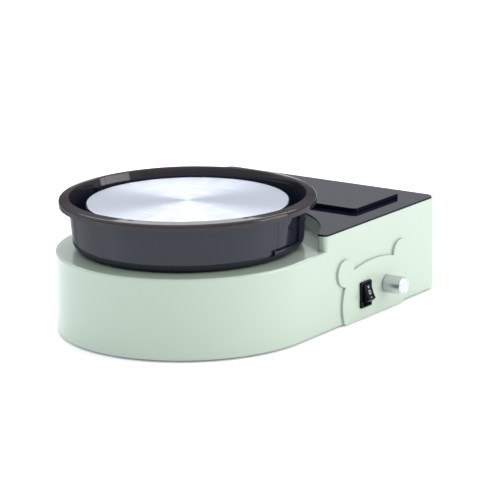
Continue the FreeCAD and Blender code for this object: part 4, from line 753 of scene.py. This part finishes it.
class POTTERY_OT_knob(PieceOperator, bpy.types.Operator):
    """Turns the speed knob"""
    bl_idname = "pottery.knob"
    bl_label = "Speed knob"

    def build(self, shape):
        radius = (KNOB_HIGH.z - KNOB_LOW.z) / 2
        length = KNOB_HIGH.x - KNOB_LOW.x
        bore = middle("pot_shaft")
        shaft = (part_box("pot_shaft")[1].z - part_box("pot_shaft")[0].z) / 2
        recess = radius - 1.0 * MM
        recess_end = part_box("pot_body")[1].x + 0.3 * MM - KNOB_LOW.x
        shaft_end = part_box("pot_shaft")[1].x - KNOB_LOW.x
        profile = [(0, length), (radius - 1.3 * MM, length), (radius - 1.1 * MM, length - 0.12 * MM),
                   (radius - 0.9 * MM, length), (radius - 0.6 * MM, length), (radius - 0.15 * MM, length - 0.2 * MM),
                   (radius, length - 0.6 * MM), (radius, 0.25 * MM), (radius - 0.25 * MM, 0), (recess, 0),
                   (recess, recess_end), (shaft, recess_end), (shaft, shaft_end), (0, shaft_end)]
        turn = Matrix.Translation((KNOB_LOW.x, bore.y, KNOB_MIDDLE.z)) @ Matrix.Rotation(math.pi / 2, 4, "Y")
        piece = lathe("turned_speed_knob", profile, FINISHES["knob_aluminium"], 96, turn)
        smooth(piece, 25)
        place_on(piece, "knob", "knob_aluminium", "speed_knob")


class POTTERY_OT_inlet(PieceOperator, bpy.types.Operator):
    """Builds the power inlet on the rear wall"""
    bl_idname = "pottery.inlet"
    bl_label = "Power inlet"

    def build(self, shape):
        refined("power_inlet", "inlet_socket", "body", "black_plastic", 0.2 * MM)


class POTTERY_OT_feet(PieceOperator, bpy.types.Operator):
    """Sets the rubber feet and the base plate's screws in their places"""
    bl_idname = "pottery.feet"
    bl_label = "Feet and base screws"

    def build(self, shape):
        boxes = islands("rubber_feet")
        low, high = boxes[0]
        places = [((a.x + b.x) / 2, (a.y + b.y) / 2, a.z) for a, b in boxes]
        repeated("rubber_foot_pads", TREES["foot"], places,
                 {"Radius": (high.x - low.x) / 2, "Height": high.z - low.z}, "body", "rubber", "rubber_feet")
        screws("base_plate_screws", "base_screws", "body", 1.5 * MM, lambda box: False, 1.6 * MM,
               shape.screw_head, 1.4 * MM, 0.7 * MM)


class POTTERY_OT_drive(PieceOperator, bpy.types.Operator):
    """Sets the drive's pillars, machine screws and bearing balls in their places"""
    bl_idname = "pottery.drive"
    bl_label = "Drive details"

    def build(self, shape):
        pillars = islands("frame_pillars")
        low, high = pillars[0]
        repeated("hexagonal_pillars", TREES["pillar"], [((a.x + b.x) / 2, (a.y + b.y) / 2, a.z) for a, b in pillars],
                 {"Corner radius": (high.x - low.x) / 2, "Height": high.z - low.z}, "body", "zinc_steel",
                 "frame_pillars")
        plate_low, plate_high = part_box("frame_plate")
        head = shape.screw_head
        screws("frame_machine_screws", "frame_screws", "body", 2.0 * MM, lambda box: box[1].z > plate_high.z,
               head, head)
        screws("housing_machine_screws", "housing_screws", "body", 2.0 * MM, lambda box: True, head, head)
        screws("motor_machine_screws", "motor_screws", "body", 2.0 * MM, lambda box: False, head, head)
        screws("hub_machine_screws", "hub_screws", "wheel", 2.0 * MM, lambda box: False, head, head)
        balls = islands("bearing_balls")
        heights = sorted({round((a.z + b.z) / 2, 5) for a, b in balls})
        reach = max((((a + b) / 2) - SPINDLE).to_2d().length for a, b in balls)
        repeated("bearing_ball_rings", TREES["ball"], [(AXIS.x, AXIS.y, z) for z in heights],
                 {"Ball radius": shape.ball_radius, "Pitch radius": reach, "Count": len(balls) // len(heights)},
                 "body", "bearing_steel", "bearing_balls")


class POTTERY_OT_electronics(PieceOperator, bpy.types.Operator):
    """Sets the heat sink on the controller board"""
    bl_idname = "pottery.electronics"
    bl_label = "Heat sink"

    def build(self, shape):
        low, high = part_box("heat_sink")
        centre = (low + high) / 2
        repeated("finned_heat_sink", TREES["fin"], [(centre.x, centre.y, low.z)],
                 {"Length": high.y - low.y, "Width": high.x - low.x, "Height": high.z - low.z,
                  "Slot count": shape.fin_count - 1}, "body", "cast_aluminium", "heat_sink")


class POTTERY_OT_stage(bpy.types.Operator):
    """Sets up the floor, the soft studio light and the camera"""
    bl_idname = "pottery.stage"
    bl_label = "Stage"

    def execute(self, context):
        look = context.scene.wheel_stage
        material, tree, place = new_material("painted_floor")
        cloud = add(tree, "ShaderNodeTexNoise", {"Vector": place, "Scale": 0.8})
        level = add(tree, "ShaderNodeMapRange", {"Value": cloud, "To Min": 0.5, "To Max": 0.6})
        shader = add(tree, "ShaderNodeBsdfPrincipled", {
            "Base Color": shade(look.floor_colour, 1), "Roughness": level,
            "Emission Color": (1, 1, 1, 1), "Emission Strength": look.floor_glow, "Specular IOR Level": 0.0})
        finish_material(material, tree, shader)
        bm = bmesh.new()
        bmesh.ops.create_grid(bm, x_segments=1, y_segments=1, size=look.floor_size / 2)
        new_piece("floor", mesh_from(bm, "floor"), material)
        self.world(context, look)
        self.light("key_light", (1.78, 0.85, 0.7), 1.3, 1.3, look.key_power, (1, 0.96, 0.95))
        self.light("top_light", (-0.85, 1.2, 1.5), 2.2, 0.35, look.top_power, (1, 1, 1))
        self.light("fill_light", (-1.7, -0.5, 0.8), 1.2, 1.2, look.fill_power, (0.65, 0.82, 1.0))
        self.camera(context, look)
        return {"FINISHED"}

    def world(self, context, look):
        world = bpy.data.worlds.new("white_room")
        world.use_nodes = True
        tree = world.node_tree
        tree.nodes.clear()
        up = add(tree, "ShaderNodeSeparateXYZ", {"Vector": add(tree, "ShaderNodeTexCoord").outputs["Generated"]})
        ramp = add(tree, "ShaderNodeMapRange", {"Value": up.outputs["Z"], "From Min": 0.15, "From Max": 0.8,
                                                "To Min": 1.0, "To Max": 2.4})
        strength = add(tree, "ShaderNodeMath", {0: ramp, 1: look.room}, operation="MULTIPLY")
        sky = add(tree, "ShaderNodeBackground", {"Color": (0.93, 0.96, 1.0, 1), "Strength": strength})
        add(tree, "ShaderNodeOutputWorld", {"Surface": sky})
        context.scene.world = world
        context.scene.view_settings.view_transform = "Standard"

    def light(self, name, place, width, height, power, colour):
        data = bpy.data.lights.new(name, "AREA")
        data.color = colour
        data.shape = "RECTANGLE"
        data.size = width
        data.size_y = height
        data.energy = power
        lamp = bpy.data.objects.new(name, data)
        bpy.context.scene.collection.objects.link(lamp)
        lamp.location = place
        lamp.rotation_euler = (AXIS - Vector(place)).to_track_quat("-Z", "Y").to_euler()

    def camera(self, context, look):
        data = bpy.data.cameras.new("camera")
        data.lens = look.lens
        data.sensor_width = 36
        data.clip_start = 0.1
        data.clip_end = 100
        camera = bpy.data.objects.new("camera", data)
        context.scene.collection.objects.link(camera)
        turn = Matrix((CAMERA_RIGHT, CAMERA_UP, -CAMERA_AHEAD)).transposed().to_4x4()
        camera.matrix_world = Matrix.Translation(CAMERA_PLACE) @ turn
        context.scene.camera = camera


class POTTERY_PT_panel(bpy.types.Panel):
    """Sizes, colours and build steps of the pottery wheel"""
    bl_idname = "POTTERY_PT_panel"
    bl_label = "Pottery wheel"
    bl_space_type = "VIEW_3D"
    bl_region_type = "UI"
    bl_category = "Pottery wheel"

    def draw(self, context):
        for group in (context.scene.wheel_finish, context.scene.wheel_shape, context.scene.wheel_stage):
            column = self.layout.box().column()
            for name in group.__annotations__:
                column.prop(group, name)
        for step in STEPS:
            self.layout.operator(step.bl_idname)


SETTINGS = (FinishSettings, ShapeSettings, StageSettings)
STEPS = (POTTERY_OT_finish_cad, POTTERY_OT_body, POTTERY_OT_deck, POTTERY_OT_pan, POTTERY_OT_head,
         POTTERY_OT_panel, POTTERY_OT_switch, POTTERY_OT_knob, POTTERY_OT_inlet, POTTERY_OT_feet,
         POTTERY_OT_drive, POTTERY_OT_electronics, POTTERY_OT_stage)


def register():
    for cls in SETTINGS + STEPS + (POTTERY_PT_panel,):
        bpy.utils.register_class(cls)
    bpy.types.Scene.wheel_finish = PointerProperty(type=FinishSettings)
    bpy.types.Scene.wheel_shape = PointerProperty(type=ShapeSettings)
    bpy.types.Scene.wheel_stage = PointerProperty(type=StageSettings)


def unregister():
    for name in ("wheel_finish", "wheel_shape", "wheel_stage"):
        delattr(bpy.types.Scene, name)
    for cls in reversed(SETTINGS + STEPS + (POTTERY_PT_panel,)):
        bpy.utils.unregister_class(cls)


def main():
    register()
    for step in STEPS:
        group, name = step.bl_idname.split(".")
        getattr(getattr(bpy.ops, group), name)()


if __name__ == "__main__":
    main()
